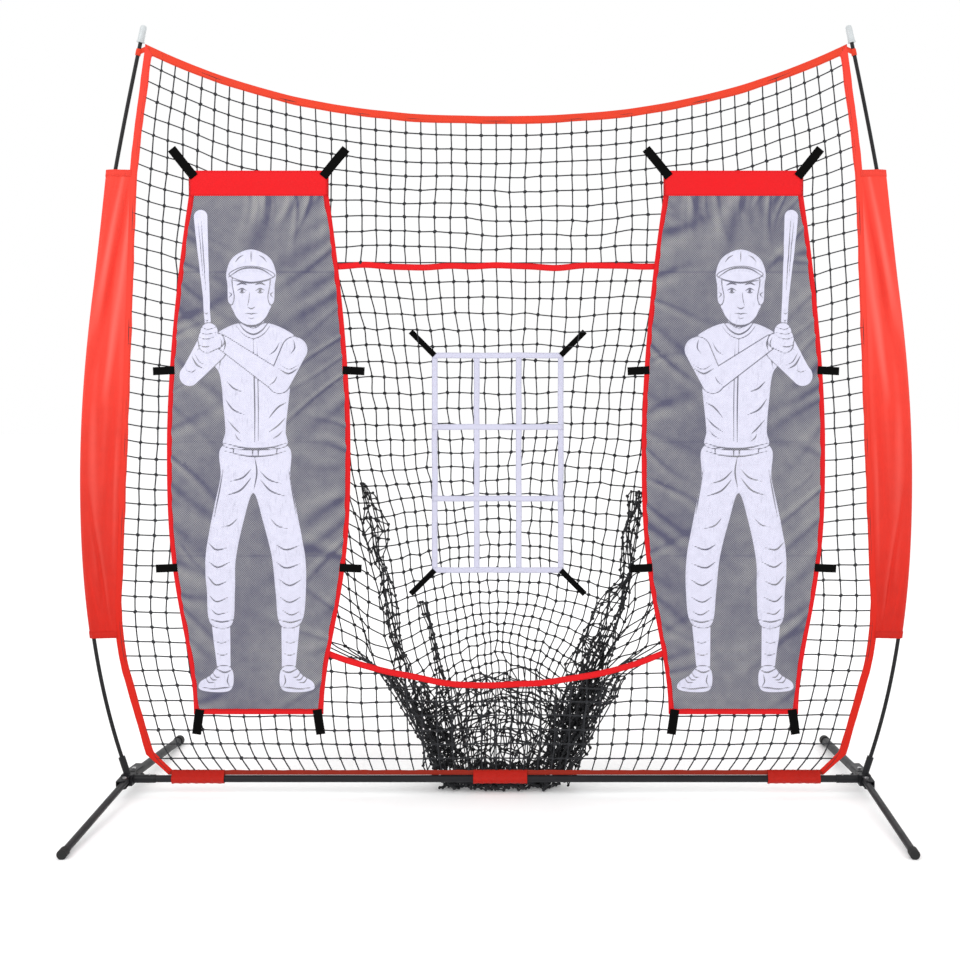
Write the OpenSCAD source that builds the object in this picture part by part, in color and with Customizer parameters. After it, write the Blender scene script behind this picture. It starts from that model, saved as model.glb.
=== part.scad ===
// Free-standing throwing net for pitching practice. A steel foot frame with four fold-out legs
// carries two sprung side poles, which hold a square-mesh net with a ball pocket open. Two batter
// figures and a nine-box strike zone hang in front of the net on hook-and-loop straps.
// X runs along the crossbar, Y goes back from the thrower, Z is up, and the ground is Z = 0.

/* [Foot frame] */
// Distance between the two hubs
hub_span = 2100; // [1950:10:2300]
// Height of the crossbar's axis above the ground
bar_h = 44; // [40:1:60]
// Outer diameter of the crossbar
bar_d = 20; // [18:0.5:22]
// Wall of the steel tubes
tube_wall = 1.5; // [1.2:0.1:2]
// Length of the stub on each hub that the crossbar plugs into
stub_l = 62; // [50:1:80]
// Thickness of the hub's bracket plates
plate_t = 2.5; // [2:0.1:3.5]
// Diameter of the bolts that the legs turn on
bolt_d = 6; // [5:0.5:7]

/* [Legs] */
// Outer diameter of the front legs
front_leg_d = 19; // [17:0.5:20]
// Outer diameter of the rear legs
rear_leg_d = 25; // [22:0.5:26]
// How far the front feet stand in front of the crossbar
front_reach = 528; // [420:5:560]
// How far the rear feet stand behind the crossbar
rear_reach = 528; // [450:5:600]
// Length of each rubber foot cap
foot_l = 28; // [22:1:40]
// Rubber thickness round the end of a leg
foot_wall = 3; // [2:0.5:3.5]

/* [Side poles] */
// Diameter of the side poles
pole_d = 11; // [9:0.5:12]
// Outer diameter of the socket that holds the foot of a pole
socket_d = 19; // [17:0.5:22]
// Length of the pole socket
socket_l = 66; // [55:1:85]
// Outward lean of the pole at its socket, as a slope
pole_lean = 0.33; // [0.28:0.01:0.38]
// Distance from the net's edge, halfway up the sleeves, out to the widest point of the bow
bow_gap = 108; // [90:1:140]
// Height of the widest point of the bow
bow_h = 900; // [800:10:1000]
// Distance from the net's top corner out to the pole's tip
tip_gap = 9; // [8:1:30]
// Height of the pole's tip
tip_h = 2172; // [2150:2:2190]
// Inward lean of the pole at its tip, as a slope
tip_lean = 0.21; // [0.15:0.01:0.25]
// Height of the lower joint between pole sections
lower_joint_h = 720; // [620:10:800]
// Height of the upper joint between pole sections
upper_joint_h = 1440; // [1300:10:1600]
// Length of the ferrule at each joint
ferrule_l = 70; // [50:1:90]

/* [Net] */
// How far the net's top corners hang below the poles' tips
corner_drop = 27; // [26:1:50]
// How far the net's top corners stand inside the hubs
corner_in = 47; // [40:1:80]
// How far the net's top edge dips in the middle
top_sag = 206; // [120:1:260]
// How far the net's edge stands inside the pole's axis at the top of the side sleeves
shoulder_gap = 38.5; // [30:0.5:60]
// How far the net reaches past its top corners at the middle of the side sleeves
middle_out = 69; // [55:1:80]
// How far the net reaches past its top corners at the foot of the side sleeves
hem_out = 94; // [70:1:100]
// How far the net stands inside the hubs above its cut-off bottom corners
low_in = 49; // [45:1:75]
// How far the net stands inside the hubs along the crossbar
foot_in = 114; // [100:1:150]
// Width of the tape round the net's edge
tape_w = 23; // [15:1:25]
// Thickness of the tapes sewn to the net
tape_t = 4; // [3:0.5:5]
// Width of the cords of the net
cord_w = 5; // [3:0.5:7]
// Thickness of the net
net_t = 3; // [2:0.5:4]
// Spacing of the cords of the net
mesh = 134; // [132:1:180]

/* [Pocket] */
// Half width of the pocket's mouth
mouth_half = 560; // [520:5:600]
// Height of the upper band of the mouth
mouth_top = 1509; // [1450:5:1560]
// Height of the lower band where it meets the side bands
mouth_low = 435; // [400:5:460]
// How far the lower band dips in the middle
lip_sag = 124; // [80:2:160]
// Width of the bands round the mouth
band_w = 18; // [14:1:22]
// Depth of the pocket behind the strike zone
pocket_depth = 135; // [115:1:180]
// Depth of the belly of the pocket, near the ground
belly_depth = 178; // [160:1:240]

/* [Sleeves] */
// Height of the upper end of the side sleeves
sleeve_top = 1785; // [1700:5:1850]
// Height of the lower end of the side sleeves
sleeve_low = 446; // [420:2:500]
// Thickness of the sleeve fabric
sleeve_t = 1.2; // [0.8:0.1:1.5]
// How far the sleeves flare past the poles at their upper ends
sleeve_flare = 16; // [0:1:30]
// Height at which the flare of the sleeves starts
flare_low = 1450; // [1300:10:1600]
// Depth of the folds in the sleeves
sleeve_fold = 4; // [0:0.5:6]
// Length of the end wraps that hold the net to the crossbar
wrap_l = 150; // [120:2:180]
// Length of the middle wrap
mid_wrap_l = 154; // [120:2:200]

/* [Batters] */
// Distance from the middle of the net to the middle of a batter panel
batter_x = 678; // [670:1:690]
// Height of the top edge of the batter panels
batter_top = 1782; // [1740:2:1800]
// Height of the bottom edge of the batter panels
batter_low = 229; // [210:1:260]
// Height at which a batter panel is widest
batter_waist = 1000; // [900:10:1100]
// Width of the band along the top of a batter panel
batter_top_w = 400; // [370:2:410]
// Width of a batter panel at its widest
batter_mid_w = 525; // [500:1:536]
// Width of a batter panel at its bottom edge
batter_low_w = 371; // [350:1:400]
// Width of the binding on the edges of a batter panel
binding_w = 16; // [12:1:20]
// Height of the band along the top of a batter panel
band_h = 72; // [50:1:90]
// Thickness of the batter panels
batter_t = 2; // [1.5:0.1:2.5]
// Width of the hook-and-loop straps of the panels
strap_w = 26; // [20:1:30]

/* [Strike zone] */
// Width of the strike zone
zone_w = 390; // [340:2:420]
// Height of the strike zone
zone_h = 652; // [600:2:680]
// Height of the bottom edge of the strike zone
zone_low = 614; // [600:1:650]
// Width of the strike zone's webbing
webbing_w = 17; // [14:0.5:20]
// Thickness of the webbing and of all straps
webbing_t = 1.5; // [1:0.1:2]
// Length of the diagonal straps of the strike zone
zone_strap_l = 100; // [80:1:110]

/* [Hidden] */
$fn = 48;

// Clearances
slip = 0.2;
seat = 0.3;
cut = 1;

// Colours
steel = [0.13, 0.13, 0.14];
rubber = [0.06, 0.06, 0.06];
fabric_red = [0.96, 0.22, 0.14];
tape_red = [0.98, 0.28, 0.14];
cord_black = [0.2, 0.2, 0.22];
mesh_grey = [0.46, 0.46, 0.53];
strap_black = [0.04, 0.04, 0.04];
webbing_white = [0.85, 0.85, 0.93];
cap_white = [0.92, 0.94, 0.93];

// Hubs
hub_x = hub_span / 2;
block_x = 30;
block_y = 40;
block_h = max(front_leg_d, rear_leg_d) + 2 * plate_t + 1;
web_x = max(rear_leg_d / 2, front_leg_d / 2) + 2;
stub_d = bar_d + 2 * slip + 2 * tube_wall;
stub_end = hub_x - block_x / 2 - stub_l;

// Legs: each turns on a bolt that is square to it, so that it folds level beside the crossbar
bolt_r = bolt_d / 2;
foot_flat = 1;
leg_room = 0.4;
end_gap = 0.8;
front_pivot_y = block_y / 2 + front_leg_d / 2 + 9;
rear_pivot_y = block_y / 2 + rear_leg_d / 2 + 13;
front_plate_l = 24;
rear_plate_l = 72;
front_l = front_reach - front_pivot_y;
rear_l = rear_reach - rear_pivot_y;
front_slope = leg_slope(front_l, front_leg_d / 2 + foot_wall);
rear_slope = leg_slope(rear_l, rear_leg_d / 2 + foot_wall);

// Snap buttons in the crossbar's ends
button_r = 3.2;
button_flange = 1.2;
button_proud = 3;
button_x = stub_end + 18;
bar_bore = bar_d / 2 - tube_wall;
button_foot = bar_bore - 3.4;
spring_w = 6;
spring_t = 0.7;
spring_floor = -sqrt(pow(bar_bore, 2) - pow(spring_w / 2, 2)) + 0.1;

// Crossbar joint, inside the middle wrap
spigot_l = 60;
swage_l = 8;

// Half widths and heights of the net's outer edge
corner_half = hub_x - corner_in;
corner_h = tip_h - corner_drop;
middle_half = corner_half + middle_out;
hem_half = corner_half + hem_out;
low_half = hub_x - low_in;
foot_half = hub_x - foot_in;

// Poles
pole_r = pole_d / 2;
bow_x = middle_half + bow_gap;
tip_x = corner_half + tip_gap;
pole_sides = 12;
socket_angle = atan(pole_lean);
socket_floor = 6;
pole_foot_h = bar_h + socket_l * cos(socket_angle);
pole_foot_x = hub_x + socket_l * sin(socket_angle);
ferrule_r = pole_r + slip + 1.3;
cap_l = 50;
cap_grip = 24;

// Net and tapes
tape_half = tape_t / 2;
shoulder_half = pole_x(sleeve_top) - shoulder_gap;
hem_z = bar_h + bar_d / 2 + 1;
hem_w = 14;
cut_h = hem_z + 58;
cut_rise = 6;
net_low = hem_z + hem_w;
edge_heights = [[hem_z, foot_half], [cut_h, low_half], [sleeve_low, hem_half],
                [(sleeve_low + sleeve_top) / 2, middle_half], [sleeve_top, shoulder_half],
                [corner_h, corner_half]];
top_steps = 24;
sag_power = 2.35;
mouth_in = mouth_half - band_w / 2;
mouth_out = mouth_half + band_w / 2;
mouth_sill = mouth_low - band_w / 2;
mouth_head = mouth_top + band_w / 2;

// Pocket: its back hangs from the upper band, falls straight behind the strike zone, bellies
// out above the ground and comes forward to the crossbar
pocket_start = tape_half + seat + net_t / 2;
bar_clear = bar_d / 2 + net_t + cord_w / 2 + seat;
floor_rise = 0.2;
pocket_foot = floor_rise + net_t + seat + 1;
zone_top = zone_low + zone_h;
ankle = mouth_low * 0.14;
shin = mouth_low * 0.32;
belly = mouth_low * 0.6;
brow = zone_top + zone_h * 0.23;
crown = zone_top + zone_h * 0.115;
back_rows = [mouth_top, brow, crown, for (k = [0 : 3]) zone_top - zone_h * (0.1 + 0.215 * k),
             zone_low, zone_low - zone_h * 0.095, mouth_low * 0.92, belly, shin, ankle, pocket_foot];
back_depths = [[pocket_foot, belly_depth * 0.45], [ankle, belly_depth * 0.66],
               [shin, belly_depth * 0.84], [belly, belly_depth],
               [mouth_low * 0.92, belly_depth * 0.955], [zone_low - zone_h * 0.095, pocket_depth],
               [crown, pocket_depth], [brow, pocket_depth * 0.72], [mouth_top, pocket_start]];
back_halves = [[pocket_foot, mouth_half * 0.295], [ankle, mouth_half * 0.35],
               [shin, mouth_half * 0.4], [belly, mouth_half * 0.45],
               [mouth_low * 0.92, mouth_half * 0.51], [zone_low, mouth_half * 0.643],
               [zone_low + zone_h * 0.6, mouth_half * 0.768], [zone_top, mouth_half * 0.875],
               [mouth_top, mouth_half - 12]];
side_halves = [[pocket_foot, mouth_half * 0.314], [ankle, mouth_half * 0.382],
               [shin, mouth_half * 0.44], [belly, mouth_half * 0.536],
               [mouth_low * 0.77, mouth_half * 0.664], [mouth_low, mouth_half - 6],
               [mouth_top, mouth_half - 6]];

// Straps and panels hang just in front of the net
panel_back = -tape_half - seat;
batter_h = batter_top - batter_low;
cloth_fold = 7;
cloth_rows = 22;
binding_t = batter_t + 1;

// ---------------------------------------------------------------- functions

// Slope of a leg whose foot cap, of outer radius r, is cut flat where it meets the ground
function leg_slope(l, r) = asin((bar_h + foot_flat) / sqrt(l * l + r * r)) - atan(r / l);

// Cubic from a to b over a height h, with slopes ma and mb at its ends, at the share t
function hermite(a, b, ma, mb, h, t) =
    a * (2 * t ^ 3 - 3 * t ^ 2 + 1) + ma * h * (t ^ 3 - 2 * t ^ 2 + t)
    + b * (3 * t ^ 2 - 2 * t ^ 3) + mb * h * (t ^ 3 - t ^ 2);

// Distance of the pole's axis from the middle plane at height z
function pole_x(z) =
    z < bow_h
    ? hermite(pole_foot_x, bow_x, pole_lean, 0, bow_h - pole_foot_h,
              (z - pole_foot_h) / (bow_h - pole_foot_h))
    : hermite(bow_x, tip_x, 0, -tip_lean, tip_h - bow_h, (z - bow_h) / (tip_h - bow_h));

function pole_angle(z) = atan(pole_x(z + 0.5) - pole_x(z - 0.5));

// Distance of the net's outer edge from the middle plane at height z
function edge_x(z) = lookup(z, edge_heights);

// Height of the net's top edge at the distance x from the middle plane, and its slope there
function top_z(x) = corner_h - top_sag * (1 - pow(abs(x) / corner_half, sag_power));
function top_slope(x) =
    top_sag * sag_power * pow(abs(x) / corner_half, sag_power - 1) / corner_half;

// Height of the top tape's lower edge at x: the tape keeps its width where the edge slopes
function top_in_z(x) = top_z(x) - tape_w * sqrt(1 + pow(top_slope(x), 2));

// Height of the middle of the lower band at x
function lip_z(x) = mouth_low - lip_sag * (1 - pow(x / mouth_half, 2));

// Outer edge of the side sleeve at height z: along the pole, and flared past it on top
function sleeve_out(z) =
    pole_x(z) + pole_r + 4.5
    + sleeve_flare * pow(max(0, (z - flare_low) / (sleeve_top - flare_low)), 1.6);

// Half width of a batter panel at height z: narrowing fast towards the band on top, whose sides
// are upright, and in a long curve towards the foot
function batter_half(z) =
    let (up = min(1, (z - batter_waist) / (batter_top - band_h - batter_waist)),
         down = (batter_waist - z) / (batter_waist - batter_low),
         wide = batter_mid_w / 2)
    z > batter_waist ? wide - (wide - batter_top_w / 2) * pow(up, 1.68)
                     : wide - (wide - batter_low_w / 2) * (1 - cos(180 * pow(down, 1.5))) / 2;

function unit(v) = v / max(norm(v), 1e-9);

// Evenly spaced values from a to b, n steps
function steps(a, b, n) = [for (i = [0 : n]) a + (b - a) * i / n];

// Normal of a grid of 3-D points at row i and column j
function grid_normal(g, i, j) =
    let (r = len(g) - 1, c = len(g[0]) - 1,
         across = g[i][min(j + 1, c)] - g[i][max(j - 1, 0)],
         along = g[min(i + 1, r)][j] - g[max(i - 1, 0)][j])
    unit(cross(across, along));

// ---------------------------------------------------------------- general shapes

// Draws its children for one side: 1 is the right, -1 the left
module on_side(side) {
    if (side > 0) children();
    else mirror([1, 0, 0]) children();
}

// A flat shape drawn in X and Z, as thick as t and centred on y
module upright(t, y = 0) {
    translate([0, y, 0]) rotate([90, 0, 0]) linear_extrude(t, center = true) children();
}

// Tube along +Z
module tube(d, wall, l) {
    difference() {
        cylinder(d = d, h = l);
        translate([0, 0, -cut]) cylinder(d = d - 2 * wall, h = l + 2 * cut);
    }
}

function flat(lists) = [for (a = lists) each a];

// Two triangles for the four-sided face a, b, c, d
function quad(a, b, c, d) = [[a, b, c], [a, c, d]];

// Closed solid through a list of rings, which all have the same number of points
module loft(rings) {
    n = len(rings[0]);
    m = len(rings);
    walls = [for (i = [0 : m - 2], k = [0 : n - 1])
             each quad(i * n + k, (i + 1) * n + k, (i + 1) * n + (k + 1) % n, i * n + (k + 1) % n)];
    foot = [for (k = [1 : n - 2]) [0, k, k + 1]];
    head = [for (k = [1 : n - 2]) [(m - 1) * n, (m - 1) * n + k + 1, (m - 1) * n + k]];
    polyhedron(points = flat(rings), faces = concat(walls, foot, head));
}

// Open-ended tube of sheet between an outer and an inner list of rings
module hollow_loft(outer, inner) {
    n = len(outer[0]);
    m = len(outer);
    o = n * m;
    walls = [for (i = [0 : m - 2], k = [0 : n - 1])
             let (a = i * n + k, b = i * n + (k + 1) % n)
             each concat(quad(a, a + n, b + n, b), quad(o + a, o + b, o + b + n, o + a + n))];
    ends = [for (k = [0 : n - 1])
            let (a = k, b = (k + 1) % n, t = (m - 1) * n)
            each concat(quad(a, b, o + b, o + a), quad(t + a, o + t + a, o + t + b, t + b))];
    polyhedron(points = concat(flat(outer), flat(inner)), faces = concat(walls, ends));
}

// Closed sheet between a front and a back grid of points
module sheet(front, back) {
    rows = len(front) - 1;
    cols = len(front[0]) - 1;
    w = cols + 1;
    o = (rows + 1) * w;
    faces = [for (i = [0 : rows - 1], j = [0 : cols - 1])
             let (a = i * w + j)
             each concat(quad(a, a + 1, a + w + 1, a + w),
                         quad(o + a, o + a + w, o + a + w + 1, o + a + 1))];
    polyhedron(points = concat(flat(front), flat(back)), faces = concat(faces, rim(rows, cols)));
}

// Faces that close the edges of two grids, the second of which follows the first
function rim(rows, cols) =
    let (w = cols + 1, o = (rows + 1) * w, e = rows * w)
    concat([for (j = [0 : cols - 1]) each quad(j, o + j, o + j + 1, j + 1)],
           [for (j = [0 : cols - 1]) each quad(e + j, e + j + 1, o + e + j + 1, o + e + j)],
           [for (i = [0 : rows - 1])
            each quad(i * w, (i + 1) * w, o + (i + 1) * w, o + i * w)],
           [for (i = [0 : rows - 1])
            each quad(i * w + cols, o + i * w + cols, o + (i + 1) * w + cols,
                      (i + 1) * w + cols)]);

// Corner of the hole in a mesh cell: the grid point p moved half a cord towards its neighbours
function hole_corner(p, beside, below) =
    p + cord_w / 2 * (unit(beside - p) + unit(below - p));

// The four corners of the hole in the cell at row i and column j of a grid
function hole(g, i, j) =
    let (a = g[i][j], b = g[i][j + 1], c = g[i + 1][j + 1], d = g[i + 1][j])
    [hole_corner(a, b, d), hole_corner(b, a, c), hole_corner(c, d, b), hole_corner(d, c, a)];

// Flat net through a grid of 2-D points, whose outer points are its outline
module flat_net(g) {
    rows = len(g) - 1;
    cols = len(g[0]) - 1;
    outline = concat([for (j = [0 : cols]) g[0][j]], [for (i = [1 : rows]) g[i][cols]],
                     [for (j = [cols - 1 : -1 : 0]) g[rows][j]],
                     [for (i = [rows - 1 : -1 : 1]) g[i][0]]);
    holes = [for (i = [0 : rows - 1], j = [0 : cols - 1]) hole(g, i, j)];
    n = len(outline);
    polygon(points = concat(outline, flat(holes)),
            paths = concat([[for (k = [0 : n - 1]) k]],
                           [for (k = [0 : len(holes) - 1]) [for (q = [0 : 3]) n + 4 * k + q]]));
}

// Net that follows a curved grid of 3-D points
module curved_net(g) {
    rows = len(g) - 1;
    cols = len(g[0]) - 1;
    w = cols + 1;
    side = (rows + 1) * w;
    face = side + 4 * rows * cols;
    out = [for (i = [0 : rows]) [for (j = [0 : cols]) grid_normal(g, i, j) * net_t / 2]];
    holes = [for (i = [0 : rows - 1], j = [0 : cols - 1]) hole(g, i, j)];
    lifts = [for (i = [0 : rows - 1], j = [0 : cols - 1])
             [out[i][j], out[i][j + 1], out[i + 1][j + 1], out[i + 1][j]]];
    front = concat([for (i = [0 : rows], j = [0 : cols]) g[i][j] + out[i][j]],
                   [for (k = [0 : len(holes) - 1], q = [0 : 3]) holes[k][q] + lifts[k][q]]);
    back = concat([for (i = [0 : rows], j = [0 : cols]) g[i][j] - out[i][j]],
                  [for (k = [0 : len(holes) - 1], q = [0 : 3]) holes[k][q] - lifts[k][q]]);
    cells = [for (i = [0 : rows - 1], j = [0 : cols - 1], q = [0 : 3])
             let (ring = [i * w + j, i * w + j + 1, (i + 1) * w + j + 1, (i + 1) * w + j],
                  h = side + 4 * (i * cols + j),
                  a = ring[q], b = ring[(q + 1) % 4], c = h + (q + 1) % 4, d = h + q)
             each concat(quad(a, b, c, d), quad(face + a, face + d, face + c, face + b),
                         quad(d, c, face + c, face + d))];
    edges = [for (f = rim(rows, cols)) [for (v = f) v < side ? v : v - side + face]];
    polyhedron(points = concat(front, back), faces = concat(cells, edges));
}

// ---------------------------------------------------------------- foot frame

// Left half of the crossbar, whose end is drawn in to plug into the right half
module crossbar_left() {
    r = bar_d / 2;
    spigot_r = r - tube_wall - slip;
    l = hub_x - block_x / 2 - cut;
    color(steel)
    difference() {
        translate([-l, 0, bar_h]) rotate([0, 90, 0]) rotate_extrude()
            polygon([[r - tube_wall, 0], [r, 0], [r, l - swage_l], [spigot_r, l],
                     [spigot_r, l + spigot_l], [spigot_r - tube_wall, l + spigot_l],
                     [spigot_r - tube_wall, l], [r - tube_wall, l - swage_l]]);
        button_hole(-1);
    }
}

module crossbar_right() {
    l = hub_x - block_x / 2 - cut;
    color(steel)
    difference() {
        translate([0, 0, bar_h]) rotate([0, 90, 0]) tube(bar_d, tube_wall, l);
        button_hole(1);
    }
}

// Hole through the top of the crossbar and its stub for a snap button
module button_hole(side) {
    translate([side * button_x, 0, bar_h]) cylinder(r = button_r + slip, h = stub_d);
}

// Places its children at a leg's bolt: +Y points along the leg, +Z along the bolt
module at_front_bolt() {
    translate([hub_x, -front_pivot_y, bar_h]) rotate([front_slope, 0, 0]) mirror([0, 1, 0])
        children();
}

module at_rear_bolt() {
    translate([hub_x, rear_pivot_y, bar_h]) rotate([-rear_slope, 0, 0]) children();
}

// Bracket that holds a leg between two plates; its web stands on the outer side
module leg_bracket(leg_d, pivot_y, l) {
    gap = leg_d + 2 * leg_room;
    back = pivot_y - block_y / 2 + 2;
    inner = leg_d / 2 - 1;
    difference() {
        translate([-inner, -back, -gap / 2 - plate_t])
            cube([inner + web_x + plate_t, back + l, gap + 2 * plate_t]);
        translate([-inner - cut, -back + 2, -gap / 2]) cube([inner + web_x + cut, back + l, gap]);
        translate([0, 0, -gap]) cylinder(r = bolt_r + 0.1, h = 2 * gap);
        // The inner corners of the plates are cut back, so that fingers reach the leg
        translate([-inner - cut, l - 10, -gap]) rotate([0, 0, 45]) cube([30, 30, 2 * gap]);
    }
}

module hub(side) {
    color(steel) on_side(side)
    difference() {
        union() {
            translate([hub_x - block_x / 2, -block_y / 2, bar_h - block_h / 2])
                cube([block_x / 2 + web_x + plate_t, block_y, block_h]);
            translate([stub_end, 0, bar_h]) rotate([0, 90, 0]) cylinder(d = stub_d, h = stub_l + cut);
            translate([hub_x, 0, bar_h]) rotate([0, socket_angle, 0])
                cylinder(d = socket_d, h = socket_l);
            at_front_bolt() leg_bracket(front_leg_d, front_pivot_y, front_plate_l);
            at_rear_bolt() leg_bracket(rear_leg_d, rear_pivot_y, rear_plate_l);
        }
        translate([stub_end - cut, 0, bar_h]) rotate([0, 90, 0])
            cylinder(d = bar_d + 2 * slip, h = stub_l + cut);
        translate([hub_x, 0, bar_h]) rotate([0, socket_angle, 0]) translate([0, 0, socket_floor])
            cylinder(r = pole_r + slip, h = socket_l);
        button_hole(1);
    }
}

// One bolt: a hexagonal head on the upper plate and a shank through both plates
module leg_bolt(leg_d) {
    half = leg_d / 2 + leg_room + plate_t;
    nut_h = 5;
    translate([0, 0, half]) cylinder(r = bolt_d * 0.95, h = 4, $fn = 6);
    translate([0, 0, -half - nut_h - 1.5]) cylinder(r = bolt_r, h = 2 * half + nut_h + 1.5);
}

module leg_bolts() {
    color("silver") for (side = [-1, 1]) on_side(side) {
        at_front_bolt() leg_bolt(front_leg_d);
        at_rear_bolt() leg_bolt(rear_leg_d);
    }
}

// One lock nut, under the lower plate
module leg_nut(leg_d) {
    nut_h = 5;
    translate([0, 0, -leg_d / 2 - leg_room - plate_t - nut_h])
    difference() {
        cylinder(r = bolt_d * 0.95, h = nut_h, $fn = 6);
        translate([0, 0, -cut]) cylinder(r = bolt_r + 0.05, h = nut_h + 2 * cut);
    }
}

module leg_nuts() {
    color("silver") for (side = [-1, 1]) on_side(side) {
        at_front_bolt() leg_nut(front_leg_d);
        at_rear_bolt() leg_nut(rear_leg_d);
    }
}

// Leg tube along +Y from its bolt, with its end rounded so that it turns inside the web
module leg(leg_d, l) {
    end_r = web_x - end_gap;
    tube_l = l - foot_wall;
    difference() {
        translate([0, -end_r, 0]) rotate([-90, 0, 0]) tube(leg_d, tube_wall, tube_l + end_r);
        cylinder(r = bolt_r + 0.1, h = 2 * leg_d, center = true);
        difference() {
            translate([-leg_d, -leg_d - end_r, -leg_d]) cube([2 * leg_d, leg_d + end_r, 2 * leg_d]);
            cylinder(r = end_r, h = 3 * leg_d, center = true);
        }
    }
}

// Rubber cap on the end of a leg, cut flat where it stands on the ground
module foot_cap(leg_d, l) {
    r = leg_d / 2 + foot_wall;
    translate([0, l - foot_l, 0]) rotate([-90, 0, 0]) rotate_extrude()
        polygon([[leg_d / 2, 0], [r - 1, 0], [r, 1], [r, foot_l - 2.5], [r - 2.5, foot_l],
                 [0, foot_l], [0, foot_l - foot_wall], [leg_d / 2, foot_l - foot_wall]]);
}

module front_leg(side) {
    color(steel) on_side(side) at_front_bolt() leg(front_leg_d, front_l);
}

module rear_leg(side) {
    color(steel) on_side(side) at_rear_bolt() leg(rear_leg_d, rear_l);
}

// Everything above the ground
module above_ground() {
    intersection() {
        children();
        translate([-2 * hub_span, -2 * hub_span, 0]) cube(4 * hub_span);
    }
}

module front_foot(side) {
    color(rubber) on_side(side) above_ground() at_front_bolt() foot_cap(front_leg_d, front_l);
}

module rear_foot(side) {
    color(rubber) on_side(side) above_ground() at_rear_bolt() foot_cap(rear_leg_d, rear_l);
}

// Snap button: a domed pin with a collar under the crossbar's wall
module bar_button(side) {
    top = stub_d / 2 + button_proud;
    dome = 1.6;
    color("silver") translate([side * button_x, 0, bar_h]) rotate_extrude()
        polygon([[0, button_foot], [button_r + button_flange, button_foot],
                 [button_r + button_flange, button_foot + 1],
                 [button_r, button_foot + 1], [button_r, top - dome],
                 for (a = [15 : 15 : 75]) [button_r - dome + dome * cos(a), top - dome + dome * sin(a)],
                 [button_r - dome, top], [0, top]]);
}

// V-shaped leaf spring that pushes the button up from the floor of the tube
module button_spring(side) {
    l = 26;
    color("silver") on_side(side) translate([button_x, 0, bar_h]) rotate([90, 0, 0])
        linear_extrude(spring_w, center = true)
        polygon([[-button_r, button_foot - spring_t - slip], [-button_r, button_foot - slip],
                 [button_r, button_foot - slip], [l, spring_floor + 2.4], [l, spring_floor],
                 [-button_r, spring_floor], [-button_r, spring_floor + spring_t],
                 [l - 3, spring_floor + spring_t],
                 [l - 3, spring_floor + 1.7],
                 [button_r, button_foot - spring_t - slip]]);
}

// ---------------------------------------------------------------- poles

// Ring of the pole's outline round the point (x, z), square to an axis that leans by a
function pole_ring(x, z, a) =
    [for (k = [0 : pole_sides - 1])
     let (q = 360 * k / pole_sides)
     [x + pole_r * cos(q) * cos(a), pole_r * sin(q), z - pole_r * cos(q) * sin(a)]];

// Rings along the bow from one height to another
function bow_rings(from, to, n) =
    [for (z = steps(from, to, n)) pole_ring(pole_x(z), z, pole_angle(z))];

// The lowest section starts straight, on the floor of its socket
module pole_lower(side) {
    foot = pole_ring(hub_x + socket_floor * sin(socket_angle),
                     bar_h + socket_floor * cos(socket_angle), socket_angle);
    color(steel) on_side(side) loft(concat([foot], bow_rings(pole_foot_h, lower_joint_h, 12)));
}

module pole_middle(side) {
    color(steel) on_side(side) loft(bow_rings(lower_joint_h, upper_joint_h, 9));
}

module pole_upper(side) {
    color(steel) on_side(side) loft(bow_rings(upper_joint_h, tip_h, 9));
}

// Steel ferrules over the joints between pole sections
module pole_ferrules() {
    color("silver") for (side = [-1, 1], z = [lower_joint_h, upper_joint_h])
        on_side(side) translate([pole_x(z), 0, z]) rotate([0, pole_angle(z), 0])
        translate([0, 0, -ferrule_l / 2]) difference() {
            cylinder(r = ferrule_r, h = ferrule_l);
            translate([0, 0, -cut]) cylinder(r = pole_r + slip, h = ferrule_l + 2 * cut);
        }
}

// Places its children at the pole's tip, with +Z along the pole
module at_tip(side) {
    on_side(side) translate([pole_x(tip_h), 0, tip_h]) rotate([0, pole_angle(tip_h), 0])
        children();
}

// Plastic caps on the tips of the poles
module tip_caps() {
    bore = pole_r + slip;
    color(cap_white) for (side = [-1, 1]) at_tip(side) translate([0, 0, -cap_grip])
        rotate_extrude()
        polygon([[bore, 0], [11.5, 0], [11.5, 4], [10, 6], [9.5, cap_l - 8], [8, cap_l - 2],
                 [5, cap_l], [0, cap_l], [0, cap_grip], [bore, cap_grip]]);
}

// Webbing loops that hook the net's top corners under the tip caps
module corner_loops() {
    loop_h = 16;
    drop = cap_grip + slip + loop_h;
    r = pole_r + slip;
    z = corner_h - 3;
    color(tape_red) for (side = [-1, 1])
    difference() {
        union() {
            at_tip(side) translate([0, 0, -drop]) cylinder(r = r + 1.5, h = loop_h);
            on_side(side) upright(tape_t)
                polygon([[corner_half, z - loop_h + 4], [corner_half, z], [pole_x(z), z + 2],
                         [pole_x(z - loop_h), z - loop_h + 8]]);
        }
        at_tip(side) translate([0, 0, -2 * drop]) cylinder(r = r, h = 2 * drop);
    }
}

// ---------------------------------------------------------------- net

// Inner edge of the side tape at height z, and where it meets the tape along the top
function inner_x(z) = edge_x(z) - tape_w;
inner_top_x = inner_x(top_in_z(corner_half - tape_w));

// Outer edge of the net at height z
function net_x(z) = inner_x(z) - slip;

// Cord counts that follow the mesh size
top_cols = round(2 * inner_x(mouth_head) / mesh);
top_rows = round((top_z(0) - mouth_head) / mesh);
side_cols = round((inner_x(mouth_low) - mouth_out) / mesh);
side_rows = round((mouth_head - mouth_sill) / mesh);
low_rows = round((mouth_sill - net_low) / mesh);
pocket_cols = 2 * round(lookup(zone_low + zone_h / 2, back_halves) / mesh);

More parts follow.
